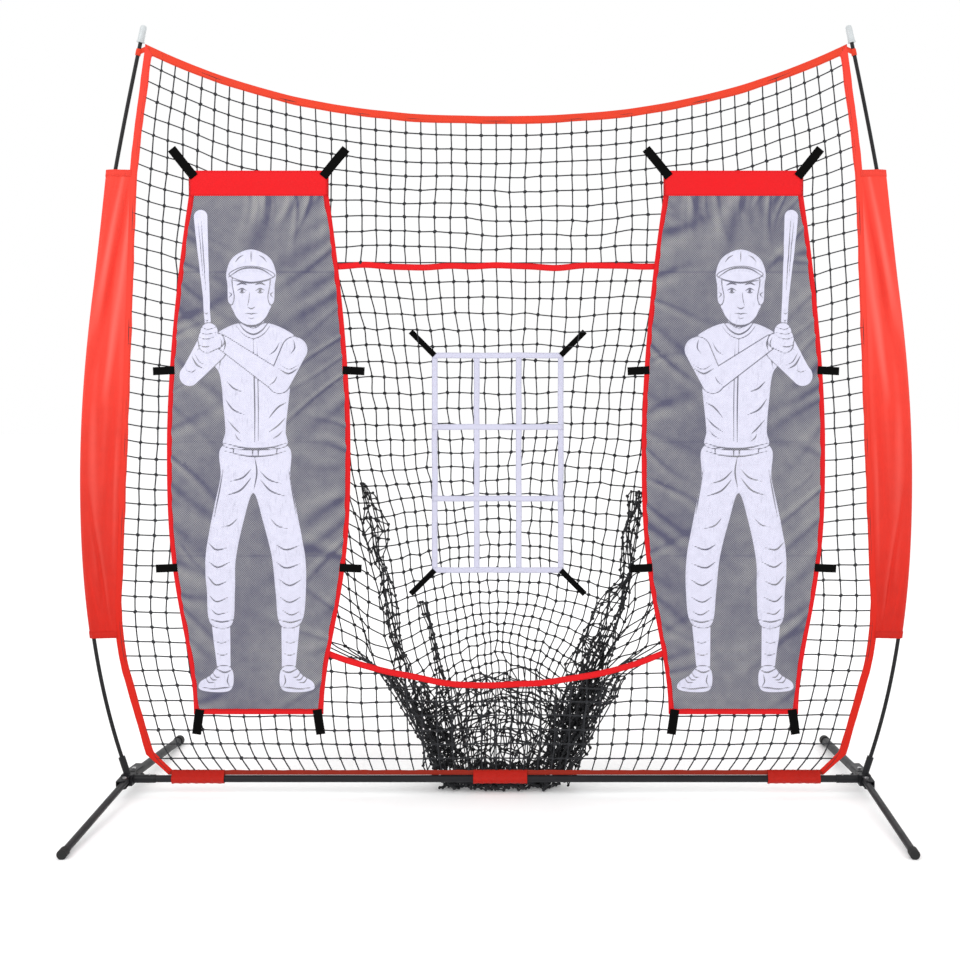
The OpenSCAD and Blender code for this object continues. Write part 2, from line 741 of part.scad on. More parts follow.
// Net above the mouth, whose rows bend towards the dip of the top edge
module net_top() {
    x_top = inner_top_x - slip;
    z_side = top_in_z(x_top) - mouth_head;
    // The straight runs between cords stay below the curve of the tape
    gap = top_sag * sag_power * (sag_power - 1) / 2 * pow(x_top / top_cols / corner_half, 2)
          + seat;
    color(cord_black) upright(net_t)
        flat_net([for (t = steps(0, 1, top_rows)) [for (s = steps(-1, 1, top_cols))
            [s * net_x(mouth_head + z_side * t),
             mouth_head + (top_in_z(s * x_top) - gap - mouth_head) * t]]]);
}

module net_side(side) {
    color(cord_black) on_side(side) upright(net_t)
        flat_net([for (z = steps(mouth_sill, mouth_head, side_rows))
                  [for (t = steps(0, 1, side_cols)) [mouth_out + (net_x(z) - mouth_out) * t, z]]]);
}

// Net below the mouth, in front of the pocket
module net_bottom() {
    cols = 2 * round(inner_x(mouth_sill) / mesh * 0.9);
    x_top = net_x(mouth_sill) - slip;
    x_cut = low_half - tape_w - slip;
    x_low = foot_half - tape_w / 2 - slip;
    z_cut = cut_h + cut_rise;
    // The straight runs between cords stay below the curve of the lower band
    gap = lip_sag * pow(x_top / cols / mouth_half, 2) + seat;
    top = function(x) abs(x) < mouth_out ? lip_z(min(abs(x), mouth_half)) - band_w / 2 - gap
                                         : mouth_sill - seat;
    color(cord_black) upright(net_t)
        flat_net(concat([[for (s = steps(-1, 1, cols)) [s * x_low, net_low]]],
                        [for (t = steps(0, 1, low_rows)) [for (s = steps(-1, 1, cols))
                         [s * (x_cut + (x_top - x_cut) * t), z_cut + (top(s * x_top) - z_cut) * t]]]));
}

// Tape along the dipping top edge
module edge_tape_top() {
    xs = steps(-corner_half, corner_half, top_steps);
    color(tape_red) upright(tape_t)
        polygon(concat([for (x = xs) [x, top_z(x)]],
                       [for (k = [top_steps : -1 : 0]) [xs[k], top_in_z(xs[k])]]));
}

// Tape down one side, round the cut-off corner to the crossbar
module edge_tape_side(side) {
    low = [for (e = edge_heights) if (e[0] < corner_h) e];
    z_top = top_in_z(corner_half - tape_w);
    color(tape_red) on_side(side) upright(tape_t)
        polygon(concat([for (e = low) [e[1], e[0]]],
                       [[corner_half, top_in_z(corner_half)], [inner_top_x, z_top]],
                       [for (k = [len(low) - 1 : -1 : 2]) [low[k][1] - tape_w, low[k][0]]],
                       [[low_half - tape_w, cut_h + cut_rise],
                        [foot_half - tape_w / 2, net_low]]));
}

module edge_tape_bottom() {
    color(tape_red * 0.8) upright(tape_t)
        polygon([[-foot_half, hem_z], [foot_half, hem_z], [foot_half - tape_w / 2, net_low],
                 [-foot_half + tape_w / 2, net_low]]);
}

module mouth_band_top() {
    color(fabric_red) upright(tape_t)
        polygon([[-mouth_out, mouth_top - band_w / 2], [mouth_out, mouth_top - band_w / 2],
                 [mouth_out, mouth_head], [-mouth_out, mouth_head]]);
}

module mouth_band_side(side) {
    color(fabric_red) on_side(side) upright(tape_t)
        polygon([[mouth_in, mouth_low + band_w / 2], [mouth_out, mouth_low + band_w / 2],
                 [mouth_out, mouth_top - band_w / 2], [mouth_in, mouth_top - band_w / 2]]);
}

// Lower band, which hangs in a curve between the side bands
module mouth_band_bottom() {
    xs = steps(-mouth_in, mouth_in, 20);
    color(fabric_red) upright(tape_t)
        polygon(concat([[-mouth_out, mouth_low + band_w / 2]],
                       [[-mouth_in, mouth_low + band_w / 2]],
                       [for (x = xs) [x, lip_z(x) + band_w / 2]],
                       [[mouth_in, mouth_low + band_w / 2], [mouth_out, mouth_low + band_w / 2]],
                       [[mouth_out, mouth_sill]],
                       [for (k = [20 : -1 : 0]) [xs[k], lip_z(xs[k]) - band_w / 2]],
                       [[-mouth_out, mouth_sill]]));
}

// Depth and half width of the pocket at height z
function back_y(z) = lookup(z, back_depths);
function back_x(z) = lookup(z, back_halves);

module pocket_back() {
    color(cord_black * 0.8)
        curved_net([for (z = back_rows) [for (s = steps(-1, 1, pocket_cols))
            [s * back_x(z), back_y(z), z]]]);
}

// Side wall of the pocket, from the side band back to the edge of the pocket's back
module pocket_side(side) {
    rows = [for (z = back_rows) if (z < mouth_top) z];
    color(cord_black * 0.8) on_side(side)
        curved_net([for (z = rows) [for (t = [0, 0.5, 1])
            let (y0 = z > ankle ? pocket_start : bar_clear, y1 = back_y(z) - net_t - seat,
                 x0 = lookup(z, side_halves), x1 = back_x(z) - 2)
            [x0 + (x1 - x0) * t, y0 + (y1 - y0) * t, z]]]);
}

// Floor of the pocket, which lies on the ground and rises behind the crossbar
module pocket_floor() {
    lie = floor_rise + net_t / 2;
    back = belly_depth * 0.53;
    path = [[back, lie], [back * 0.6, lie], [back * 0.23, lie + net_t], [bar_clear, bar_h / 2],
            [bar_clear, bar_h + 6]];
    halves = [for (share = [0.304, 0.286, 0.25, 0.223, 0.214]) mouth_half * share];
    color(cord_black * 0.8)
        curved_net([for (i = [0 : len(path) - 1]) [for (s = [-1, 0, 1])
            [s * halves[i], path[i][0], path[i][1]]]]);
}

// ---------------------------------------------------------------- sleeves and wraps

// Ring of the sleeve at height z, drawn in by w: along the front from the net, and back again.
// Both faces swing to and fro in upright folds, from one point of the ring to the next.
function sleeve_ring(z, w) =
    let (xe = edge_x(z) + (w > 0 ? 7 : 0), xp = pole_x(z), xo = sleeve_out(z) - w,
         fat = ferrule_r + 1 + sleeve_t - w,
         thin = tape_half - w,
         front = [for (s = [0, 0.3, 0.6, 0.85])
                  [xe + (xp - pole_r - 3 - xe) * s, thin + (fat - thin) * s * s,
                   sleeve_fold * sin(180 * s) * sin(500 * s + 0.5 * z)]],
         outer = [[xp, fat, 0], [xp + pole_r, fat - 1.8, 0], [xo, thin, 0]],
         half = concat(front, outer))
    concat([for (p = half) [p[0], p[2] - p[1], z]],
           [for (k = [len(half) - 1 : -1 : 0]) [half[k][0], half[k][2] + half[k][1], z]]);

module sleeve(side) {
    zs = steps(sleeve_low, sleeve_top, 16);
    color(fabric_red) on_side(side)
        hollow_loft([for (z = zs) sleeve_ring(z, 0)], [for (z = zs) sleeve_ring(z, sleeve_t)]);
}

// Wrap round the crossbar that is sewn to both faces of the hem tape
module bar_wrap(x, l) {
    top = net_low - bar_h;
    translate([x - l / 2, 0, bar_h]) rotate([90, 0, 90]) linear_extrude(l)
    difference() {
        hull() {
            circle(r = bar_d / 2 + 2, $fn = 32);
            translate([-tape_half - 1.8, 0]) square([tape_t + 3.6, top]);
        }
        hull() {
            circle(r = bar_d / 2 + 0.4, $fn = 32);
            translate([-tape_half, 0]) square([tape_t, hem_z - bar_h + 2]);
        }
        translate([-tape_half, 0]) square([tape_t, top + cut]);
    }
}

module bar_wraps() {
    color(fabric_red * 0.9) {
        for (side = [-1, 1]) bar_wrap(side * (foot_half - 10 - wrap_l / 2), wrap_l);
        bar_wrap(12, mid_wrap_l);
    }
}

// ---------------------------------------------------------------- batters

// Half width of the cloth inside the binding at height z
function cloth_half(z) = batter_half(z) - binding_w;

cloth_top = batter_top - band_h;
cloth_low = batter_low + binding_w;

// Fold of the cloth at u across and v up, both from 0 to 1: gathers hang from the band and
// creases run aslant lower down, and both die out at the edges
function fold_at(u, v) =
    cloth_fold * sin(180 * u) * sin(180 * v)
    * (0.45 + 0.25 * sin(900 * u) * v + 0.3 * sin(540 * (u + 0.8 * v)));

// Mesh cloth of a batter panel, with its folds
module batter_cloth(side) {
    cols = 12;
    zs = steps(cloth_low, cloth_top, cloth_rows);
    grid = function(y0) [for (i = [0 : cloth_rows]) [for (j = [0 : cols])
        let (u = j / cols, v = i / cloth_rows)
        [batter_x + (2 * u - 1) * cloth_half(zs[i]), y0 - fold_at(u, v), zs[i]]]];
    color(mesh_grey) on_side(side)
        sheet(grid(panel_back - batter_t), grid(panel_back));
}

// Edge of a batter panel from one height to another, drawn in by w: s is 1 for the outer edge
function batter_edge(s, z0, z1, w) =
    [for (z = steps(z0, z1, cloth_rows)) [batter_x + s * (batter_half(z) - w), z]];

// Binding down both sides and along the foot of a batter panel
module batter_binding(side) {
    y = panel_back - binding_t / 2;
    color(fabric_red) on_side(side) upright(binding_t, y)
        polygon(concat(batter_edge(1, batter_low, cloth_top, 0),
                       batter_edge(1, cloth_top, cloth_low, binding_w),
                       batter_edge(-1, cloth_low, cloth_top, binding_w),
                       batter_edge(-1, cloth_top, batter_low, 0)));
}

// Band along the top of a batter panel
module batter_band(side) {
    y = panel_back - binding_t / 2;
    color(fabric_red) on_side(side) upright(binding_t, y)
        polygon(concat(batter_edge(1, cloth_top, batter_top, 0),
                       batter_edge(-1, batter_top, cloth_top, 0)));
}

// Strap of length l from the point (x, z), turned by a from straight up
module strap(x, z, a, l, w) {
    translate([x, z]) rotate(-a) translate([-w / 2, 0]) square([w, l]);
}

// The eight straps of a batter panel lie on its face and reach past its edge to the net
module batter_straps(side) {
    y = panel_back - binding_t - webbing_t / 2;
    lap = 14;
    head_z = batter_top - 18;
    side_zs = [batter_low + 0.27 * batter_h, batter_low + 0.633 * batter_h];
    color(strap_black) on_side(side) upright(webbing_t, y) {
        for (s = [-1, 1]) {
            strap(batter_x + s * (batter_top_w / 2 - 16), head_z, s * 39, 104, strap_w);
            for (z = side_zs)
                strap(batter_x + s * (batter_half(z) - lap), z, s * 90, 62, strap_w - 3);
            strap(batter_x + s * (batter_low_w / 2 - 18), batter_low + lap, 180 - s * 8, 72,
                  strap_w);
        }
    }
}

// ---------------------------------------------------------------- strike zone

zone_y = pocket_depth - net_t / 2 - seat - webbing_t / 2;

// Webbing frame of three by three boxes
module strike_zone() {
    in_w = zone_w - webbing_w;
    in_h = zone_h - webbing_w;
    color(webbing_white) upright(webbing_t, zone_y)
    difference() {
        translate([-zone_w / 2, zone_low]) square([zone_w, zone_h]);
        for (i = [0 : 2], j = [0 : 2])
            translate([-zone_w / 2 + webbing_w + i * in_w / 3, zone_low + webbing_w + j * in_h / 3])
                square([in_w / 3 - webbing_w, in_h / 3 - webbing_w]);
    }
}

// Diagonal straps from the corners of the strike zone, sewn to its front
module strike_zone_straps() {
    y = zone_y - webbing_t;
    z_mid = zone_low + zone_h / 2;
    color(strap_black) upright(webbing_t, y)
        for (s = [-1, 1], t = [-1, 1])
            strap(s * (zone_w / 2 - 8), z_mid + t * (zone_h / 2 - 8), s * (90 - t * 45),
                  zone_strap_l, webbing_w);
}

// ---------------------------------------------------------------- the nodes

crossbar_left();
crossbar_right();
hub(-1);  // hub_left
hub(1);  // hub_right
leg_bolts();
leg_nuts();
bar_button(-1);  // bar_button_left
bar_button(1);  // bar_button_right
button_spring(-1);  // button_spring_left
button_spring(1);  // button_spring_right
front_leg(-1);  // front_leg_left
front_leg(1);  // front_leg_right
rear_leg(-1);  // rear_leg_left
rear_leg(1);  // rear_leg_right
front_foot(-1);  // front_foot_left
front_foot(1);  // front_foot_right
rear_foot(-1);  // rear_foot_left
rear_foot(1);  // rear_foot_right
pole_lower(-1);  // pole_lower_left
pole_lower(1);  // pole_lower_right
pole_middle(-1);  // pole_middle_left
pole_middle(1);  // pole_middle_right
pole_upper(-1);  // pole_upper_left
pole_upper(1);  // pole_upper_right
pole_ferrules();
tip_caps();
corner_loops();
net_top();
net_side(-1);  // net_left
net_side(1);  // net_right
net_bottom();
edge_tape_top();
edge_tape_side(-1);  // edge_tape_left
edge_tape_side(1);  // edge_tape_right
edge_tape_bottom();
mouth_band_top();
mouth_band_side(-1);  // mouth_band_left
mouth_band_side(1);  // mouth_band_right
mouth_band_bottom();
pocket_back();
pocket_side(-1);  // pocket_left
pocket_side(1);  // pocket_right
pocket_floor();
sleeve(-1);  // sleeve_left
sleeve(1);  // sleeve_right
bar_wraps();
batter_cloth(-1);  // batter_cloth_left
batter_cloth(1);  // batter_cloth_right
batter_binding(-1);  // batter_binding_left
batter_binding(1);  // batter_binding_right
batter_band(-1);  // batter_band_left
batter_band(1);  // batter_band_right
batter_straps(-1);  // batter_straps_left
batter_straps(1);  // batter_straps_right
strike_zone();
strike_zone_straps();
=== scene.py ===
import math

import bpy
import numpy as np
from bpy.props import FloatProperty, FloatVectorProperty, IntProperty, PointerProperty
from bpy.types import Operator, Panel, PropertyGroup
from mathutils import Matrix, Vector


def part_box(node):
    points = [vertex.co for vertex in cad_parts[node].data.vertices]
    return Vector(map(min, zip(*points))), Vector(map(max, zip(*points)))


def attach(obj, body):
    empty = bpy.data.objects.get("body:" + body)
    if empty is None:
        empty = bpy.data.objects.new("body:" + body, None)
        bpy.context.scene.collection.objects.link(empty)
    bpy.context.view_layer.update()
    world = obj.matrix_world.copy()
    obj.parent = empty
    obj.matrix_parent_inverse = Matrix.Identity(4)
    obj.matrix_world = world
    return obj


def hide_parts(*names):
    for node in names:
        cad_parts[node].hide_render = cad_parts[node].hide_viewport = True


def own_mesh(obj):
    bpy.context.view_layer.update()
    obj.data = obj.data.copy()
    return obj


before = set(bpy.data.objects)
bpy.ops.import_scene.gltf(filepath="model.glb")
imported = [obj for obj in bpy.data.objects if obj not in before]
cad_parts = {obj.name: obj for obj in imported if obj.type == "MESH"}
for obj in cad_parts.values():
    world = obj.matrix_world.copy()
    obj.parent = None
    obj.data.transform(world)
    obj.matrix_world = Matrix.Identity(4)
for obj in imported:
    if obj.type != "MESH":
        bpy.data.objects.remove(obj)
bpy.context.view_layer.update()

bl_info = {
    "name": "Pitching Net",
    "version": (1, 0, 0),
    "blender": (4, 5, 0),
    "location": "View3D > Sidebar > Pitching Net",
    "description": "Dresses a folding practice net: net, ball pocket, sleeves and batter panels",
    "category": "Object",
}

SIDES = {"left": -1, "right": 1}


# ---------------------------------------------------------------- places taken from the frame

def node_box(node):
    """Lowest and highest corner of a CAD node, as two arrays in metres."""
    low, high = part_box(node)
    return np.array(low), np.array(high)


TOP_LOW, TOP_HIGH = node_box("edge_tape_top")
HEM_LOW, HEM_HIGH = node_box("edge_tape_bottom")
HEAD_LOW, HEAD_HIGH = node_box("mouth_band_top")
LIP_LOW, LIP_HIGH = node_box("mouth_band_bottom")
SLEEVE_LOW, SLEEVE_HIGH = node_box("sleeve_right")
PANEL_LOW, PANEL_HIGH = node_box("batter_binding_right")
BAND_LOW, BAND_HIGH = node_box("batter_band_right")
ZONE_LOW, ZONE_HIGH = node_box("strike_zone")

TAPE_W = 0.023
TOP_POWER = 2.35
BAND_W = HEAD_HIGH[2] - HEAD_LOW[2]
CORNER_HALF, CORNER_Z = TOP_HIGH[0], TOP_HIGH[2]
TOP_SAG = CORNER_Z - TAPE_W - TOP_LOW[2]
MOUTH_HALF = HEAD_HIGH[0] - BAND_W / 2
MOUTH_TOP = (HEAD_LOW[2] + HEAD_HIGH[2]) / 2
MOUTH_LOW = LIP_HIGH[2] - BAND_W / 2
LIP_SAG = MOUTH_LOW - BAND_W / 2 - LIP_LOW[2]
BATTER_X = (BAND_LOW[0] + BAND_HIGH[0]) / 2
BATTER_WAIST, BATTER_FOOT = 1.000, 0.1855
BINDING_W = 0.016

# Half width of the net's outer edge at a few heights
EDGE_HEIGHTS = [HEM_LOW[2], 0.113, SLEEVE_LOW[2], 1.1155, SLEEVE_HIGH[2], CORNER_Z]
EDGE_HALVES = [HEM_HIGH[0], 1.001, 1.097, 1.072, 1.050, CORNER_HALF]

# Half width of the side tape's inner edge at the hem and at the cut-off corner
HEM_INNER, CUT_INNER = 0.9245, 0.978

# The bow of a side pole: where it leaves its socket, where it is widest, and its tip
POLE_R = 0.0055
POLE_FOOT = (1.0706, 0.1067, 0.33)
POLE_BOW = (1.180, 0.900)
POLE_TIP = (1.012, 2.172, -0.21)
POLE_JOINTS = [0.720, 1.440]
SOCKET_FLOOR = (1.0519, 0.0497)

# Height above which the sleeves and the side tapes are no longer darkened by painted shade towards
# their feet
SLEEVE_SHADE_TOP = (SLEEVE_LOW[2] + 2 * SLEEVE_HIGH[2]) / 3

# The pocket: how far back it reaches, and how wide its back and its front edges are on either
# side, by height. It hangs a little askew, and its front edges follow the lower band.
BACK_HEIGHTS = [0.005, 0.060, 0.140, 0.262, 0.400, 0.552, 1.341, 1.416, MOUTH_TOP]
BACK_DEPTHS = [0.080, 0.118, 0.150, 0.178, 0.170, 0.136, 0.136, 0.098, 0.004]
HALF_HEIGHTS = [0.005, 0.060, 0.140, 0.262, 0.342, 0.433, 0.539, 0.644, 0.743, 0.887, 1.010,
                1.264, MOUTH_TOP]
BACK_HALVES = {-1: [0.150, 0.168, 0.202, 0.246, 0.283, 0.306, 0.325, 0.344, 0.359, 0.385, 0.430,
                    0.490, 0.548],
               1: [0.165, 0.188, 0.215, 0.236, 0.250, 0.275, 0.330, 0.385, 0.398, 0.418, 0.436,
                   0.490, 0.548]}
FRONT_HEIGHTS = [0.005, 0.079, 0.152, 0.232, 0.334, 0.360, 0.380, 0.400, 0.420, MOUTH_LOW,
                 MOUTH_TOP]
FRONT_HALVES = {-1: [0.165, 0.181, 0.210, 0.2545, 0.3125, 0.355, 0.418, 0.475, 0.525, 0.554, 0.554],
                1: [0.192, 0.213, 0.264, 0.315, 0.366, 0.385, 0.428, 0.478, 0.525, 0.554, 0.554]}


# ---------------------------------------------------------------- what a user would change

def number(name, description, default, low, high, unit="LENGTH"):
    """A number that a user can change, in metres unless another unit is given."""
    return FloatProperty(name=name, description=description, default=default, min=low, max=high,
                         unit=unit)


def count(name, description, default, low, high):
    return IntProperty(name=name, description=description, default=default, min=low, max=high)


def paint(name, description, *colour):
    return FloatVectorProperty(name=name, description=description, subtype="COLOR",
                               default=colour)


class NetSizes(PropertyGroup):
    cord_d: number("Cord", "Thickness of the net's cord", 0.0039, 0.002, 0.005)
    knot_d: number("Knot", "Thickness of the knots", 0.0092, 0.003, 0.012)
    rows: count("Rows", "Rows of squares from the hem to the top tape", 46, 10, 60)
    columns: count("Columns", "Columns of squares across the net", 48, 10, 60)
    mouth_columns: count("Mouth columns", "Columns across the pocket's mouth", 26, 6, 40)
    wobble: number("Wobble", "How far the cords wander from straight", 0.0030, 0, 0.01)
    tape_t: number("Tape thickness", "Thickness of the folded edge tape", 0.0044, 0.002, 0.006)


class PocketSizes(PropertyGroup):
    rows: count("Rows", "Rows of squares down the pocket", 37, 10, 60)
    side_columns: count("Side columns", "Columns in each side of the pocket", 7, 2, 12)
    drop: number("Drop", "How far the rows fall from the mouth to the back", 0.18, 0, 0.3)
    arch: number("Arch", "How far the rows rise in the middle of the back", 0.130, 0, 0.3)
    gather: number("Gather", "Depth of the folds at the pocket's corners", 0.026, 0, 0.05)
    heap_columns: count("Heap columns", "Columns of the heap on the ground", 34, 4, 60)
    heap_rows: count("Heap rows", "Rows of the heap on the ground", 13, 2, 20)


class ClothSizes(PropertyGroup):
    sleeve_fold: number("Sleeve folds", "Depth of the folds in the sleeves", 0.0050, 0, 0.01)
    sleeve_t: number("Sleeve fabric", "Thickness of the sleeve fabric", 0.0008, 0.0004, 0.002)
    panel_t: number("Panel fabric", "Thickness of the batter panels", 0.0007, 0.0004, 0.002)
    panel_fold: number("Panel folds", "Depth of the folds in the panels", 0.0120, 0, 0.014)
    weave: number("Panel weave", "Spacing of the holes in the panel fabric", 0.0064, 0.002, 0.01)


class Colours(PropertyGroup):
    steel: paint("Steel", "Powder coat of the foot frame", 0.010, 0.010, 0.012)
    pole: paint("Pole", "Resin coat of the side poles", 0.010, 0.010, 0.011)
    zinc: paint("Zinc", "Plating of the bolts and buttons", 0.55, 0.55, 0.56)
    rubber: paint("Rubber", "Foot caps", 0.018, 0.018, 0.018)
    cap: paint("Tip cap", "Plastic caps on the poles", 0.50, 0.53, 0.54)
    cord: paint("Cord", "Net cord", 0.011, 0.012, 0.015)
    tape: paint("Edge tape", "Tape round the net", 0.74, 0.052, 0.022)
    sleeve: paint("Sleeve", "Side sleeves and crossbar wraps", 0.86, 0.056, 0.036)
    band: paint("Band", "Bands of the mouth and the panels", 0.74, 0.009, 0.013)
    panel: paint("Panel", "Batter panel fabric", 0.235, 0.233, 0.305)
    ink: paint("Ink", "Print on the batter panels", 0.67, 0.665, 0.80)
    webbing: paint("Webbing", "Webbing of the strike zone", 0.61, 0.61, 0.75)
    strap: paint("Strap", "Hook-and-loop straps", 0.003, 0.003, 0.003)
    floor: paint("Floor", "Studio floor", 0.93, 0.93, 0.93)


class Studio(PropertyGroup):
    distance: number("Distance", "Camera's distance in front of the net", 3.744, 1, 10)
    eye_x: number("Eye across", "Camera's place along the crossbar", 0.137, -1, 1)
    eye_h: number("Eye height", "Camera's height above the floor", 1.155, 0.2, 3)
    lens: number("Lens", "Focal length of the camera", 49.1, 20, 120, "CAMERA")
    aim_x: number("Aim across", "Middle of the view in the net's plane", -0.046, -1, 1)
    aim_h: number("Aim height", "Height of the view's middle", 0.898, 0, 2)
    ambient: number("Ambient", "Strength of the even white light", 1.00, 0, 3, "NONE")
    floor_glow: number("Floor glow", "Light that the paper floor lets up", 0.14, 0, 1, "NONE")
    key: number("Key light", "Power of the large front light", 60, 0, 500, "POWER")


class PitchingNet(PropertyGroup):
    net: PointerProperty(type=NetSizes)
    pocket: PointerProperty(type=PocketSizes)
    cloth: PointerProperty(type=ClothSizes)
    colours: PointerProperty(type=Colours)
    studio: PointerProperty(type=Studio)


def settings():
    return bpy.context.scene.pitching_net


# ---------------------------------------------------------------- curves of the object

def soft_table(z, heights, values, spread):
    """A table's value at z with its corners rounded: the mean of straight interpolation at five
    heights, spread above and below z."""
    offsets = np.linspace(-spread, spread, 5)
    return np.mean([np.interp(z + o, heights, values) for o in offsets], axis=0)


def edge_x(z):
    """Half width of the net's outer edge at height z, straight near its corners."""
    z = np.asarray(z)
    return np.where((z > 0.25) & (z < 2.0), soft_table(z, EDGE_HEIGHTS, EDGE_HALVES, 0.10),
                    np.interp(z, EDGE_HEIGHTS, EDGE_HALVES))


def top_z(x):
    """Height of the net's top edge at x, which rises from the middle by a power of x."""
    return CORNER_Z - TOP_SAG * (1 - np.abs(x / CORNER_HALF) ** TOP_POWER)


def top_in_z(x):
    """Height of the top tape's lower edge: the tape keeps its width where the edge slopes."""
    slope = TOP_SAG * TOP_POWER * np.abs(x / CORNER_HALF) ** (TOP_POWER - 1) / CORNER_HALF
    return top_z(x) - TAPE_W * np.sqrt(1 + slope ** 2)


def lip_z(x):
    """Height of the lower band at x: a parabola between the side bands."""
    share = np.minimum(np.abs(x) / MOUTH_HALF, 1)
    return MOUTH_LOW - LIP_SAG * (1 - share ** 2)


def hermite(a, b, slope_a, slope_b, height, t):
    """Cubic from a to b over a height, with given slopes at its ends, at the share t."""
    return (a * (2 * t ** 3 - 3 * t ** 2 + 1) + slope_a * height * (t ** 3 - 2 * t ** 2 + t)
            + b * (3 * t ** 2 - 2 * t ** 3) + slope_b * height * (t ** 3 - t ** 2))


def pole_x(z):
    """Distance of a pole's axis from the middle plane: two cubics that meet where it is widest."""
    z = np.asarray(z, float)
    foot_x, foot_z, lean = POLE_FOOT
    bow_x, bow_z = POLE_BOW
    tip_x, tip_z, tip_lean = POLE_TIP
    low = hermite(foot_x, bow_x, lean, 0, bow_z - foot_z, (z - foot_z) / (bow_z - foot_z))
    high = hermite(bow_x, tip_x, 0, tip_lean, tip_z - bow_z, (z - bow_z) / (tip_z - bow_z))
    return np.where(z < bow_z, low, high)


def batter_half(z):
    """Half width of a batter panel at height z: it narrows by a power of the height from its
    waist up to the band, whose sides are upright, and by half a cosine wave down to its foot."""
    up = np.clip((z - BATTER_WAIST) / (BAND_LOW[2] - BATTER_WAIST), 0, 1)
    down = np.clip((BATTER_WAIST - z) / (BATTER_WAIST - PANEL_LOW[2]), 0, 1)
    widest = (PANEL_HIGH[0] - PANEL_LOW[0]) / 2
    above = widest - (widest - (BAND_HIGH[0] - BAND_LOW[0]) / 2) * up ** 1.68
    below = widest - (widest - BATTER_FOOT) * (1 - np.cos(np.pi * down ** 1.5)) / 2
    return np.where(z > BATTER_WAIST, above, below)


def mouth_gap(x, z):
    """How far a point of the net's plane is outside the pocket's mouth, in metres."""
    return np.maximum.reduce([np.abs(x) - MOUTH_HALF, z - MOUTH_TOP, lip_z(x) - z])


# ---------------------------------------------------------------- mesh tools

def unit(v):
    return v / np.maximum(np.linalg.norm(v, axis=-1, keepdims=True), 1e-12)


def soft_noise(shape, passes, seed):
    """Random values that vary smoothly over a grid: each pass averages every value with its four
    neighbours, and the result has a spread of 1."""
    values = np.random.default_rng(seed).standard_normal(shape)
    for _ in range(passes):
        padded = np.pad(values, 1, mode="edge")
        values = (padded[1:-1, 1:-1] + padded[2:, 1:-1] + padded[:-2, 1:-1]
                  + padded[1:-1, 2:] + padded[1:-1, :-2]) / 5
    return values / max(values.std(), 1e-9)


def make_piece(name, shape, material, replaces=(), body="root", attributes=None):
    """One finished piece. Its shape is its points (n, 3), its faces, as one array or a list of
    arrays that each have one corner count, and, where it is cloth, a uv of each point in metres.
    It may have named values of each point."""
    points, faces, *uv = shape
    faces = faces if isinstance(faces, list) else [faces]
    mesh = bpy.data.meshes.new(name)
    corners = np.concatenate([f.ravel() for f in faces])
    counts = np.concatenate([np.full(len(f), f.shape[1]) for f in faces])
    mesh.vertices.add(len(points))
    mesh.vertices.foreach_set("co", np.asarray(points, np.float32).ravel())
    mesh.loops.add(len(corners))
    mesh.polygons.add(len(counts))
    mesh.polygons.foreach_set("loop_start", (np.cumsum(counts) - counts).astype(np.int32))
    mesh.polygons.foreach_set("vertices", corners.astype(np.int32))
    mesh.polygons.foreach_set("use_smooth", np.ones(len(counts), bool))
    mesh.update(calc_edges=True)
    if uv:
        layer = mesh.uv_layers.new(name="cloth")
        layer.data.foreach_set("uv", np.asarray(uv[0], np.float32)[corners].ravel())
    for key, values in (attributes or {}).items():
        layer = mesh.attributes.new(key, "FLOAT", "POINT")
        layer.data.foreach_set("value", np.asarray(values, np.float32).ravel())
    if mesh.validate():
        raise RuntimeError(f"{name} had faces that don't work")
    mesh.materials.append(material)
    piece = bpy.data.objects.new(name, mesh)
    bpy.context.scene.collection.objects.link(piece)
    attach(piece, body)
    if replaces:
        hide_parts(*replaces)
    return piece


def thicken(piece, thickness):
    """Gives a single layer of cloth its thickness, inwards from its outer face."""
    wall = piece.modifiers.new("fabric thickness", "SOLIDIFY")
    wall.thickness = thickness
    wall.offset = -1


def join_shapes(shapes):
    """Stacks shapes of (points, quads) or of (points, quads, uv) into one."""
    points, quads, *uvs = zip(*shapes)
    starts = np.cumsum([0] + [len(p) for p in points[:-1]])
    quads = [q + start for q, start in zip(quads, starts)]
    return tuple(np.concatenate(parts) for parts in (points, quads, *uvs))


def grid_quads(index, turned=False):
    """Quads between the neighbours in a grid of point numbers, turned over if asked."""
    quads = np.stack([index[:-1, :-1], index[:-1, 1:], index[1:, 1:], index[1:, :-1]], -1)
    return quads.reshape(-1, 4)[:, [0, 3, 2, 1]] if turned else quads.reshape(-1, 4)


def sweep(rings):
    """Closed quads through rings (m sweeps, n rings, k points): the walls run from ring to ring,
    and both ends are closed by quads across the ring. k is even."""
    m, n, k = rings.shape[:3]
    index = np.arange(m * n * k).reshape(m, n, k)
    beside = np.roll(index, -1, axis=2)
    walls = np.stack([index[:, :-1], beside[:, :-1], beside[:, 1:], index[:, 1:]], -1)
    a = np.arange(k // 2 - 1)
    head = index[:, -1][:, np.stack([a, a + 1, k - 2 - a, k - 1 - a], -1)]
    foot = index[:, 0][:, np.stack([k - 1 - a, k - 2 - a, a + 1, a], -1)]
    quads = np.concatenate([walls.reshape(-1, 4), head.reshape(-1, 4), foot.reshape(-1, 4)])
    return rings.reshape(-1, 3), quads


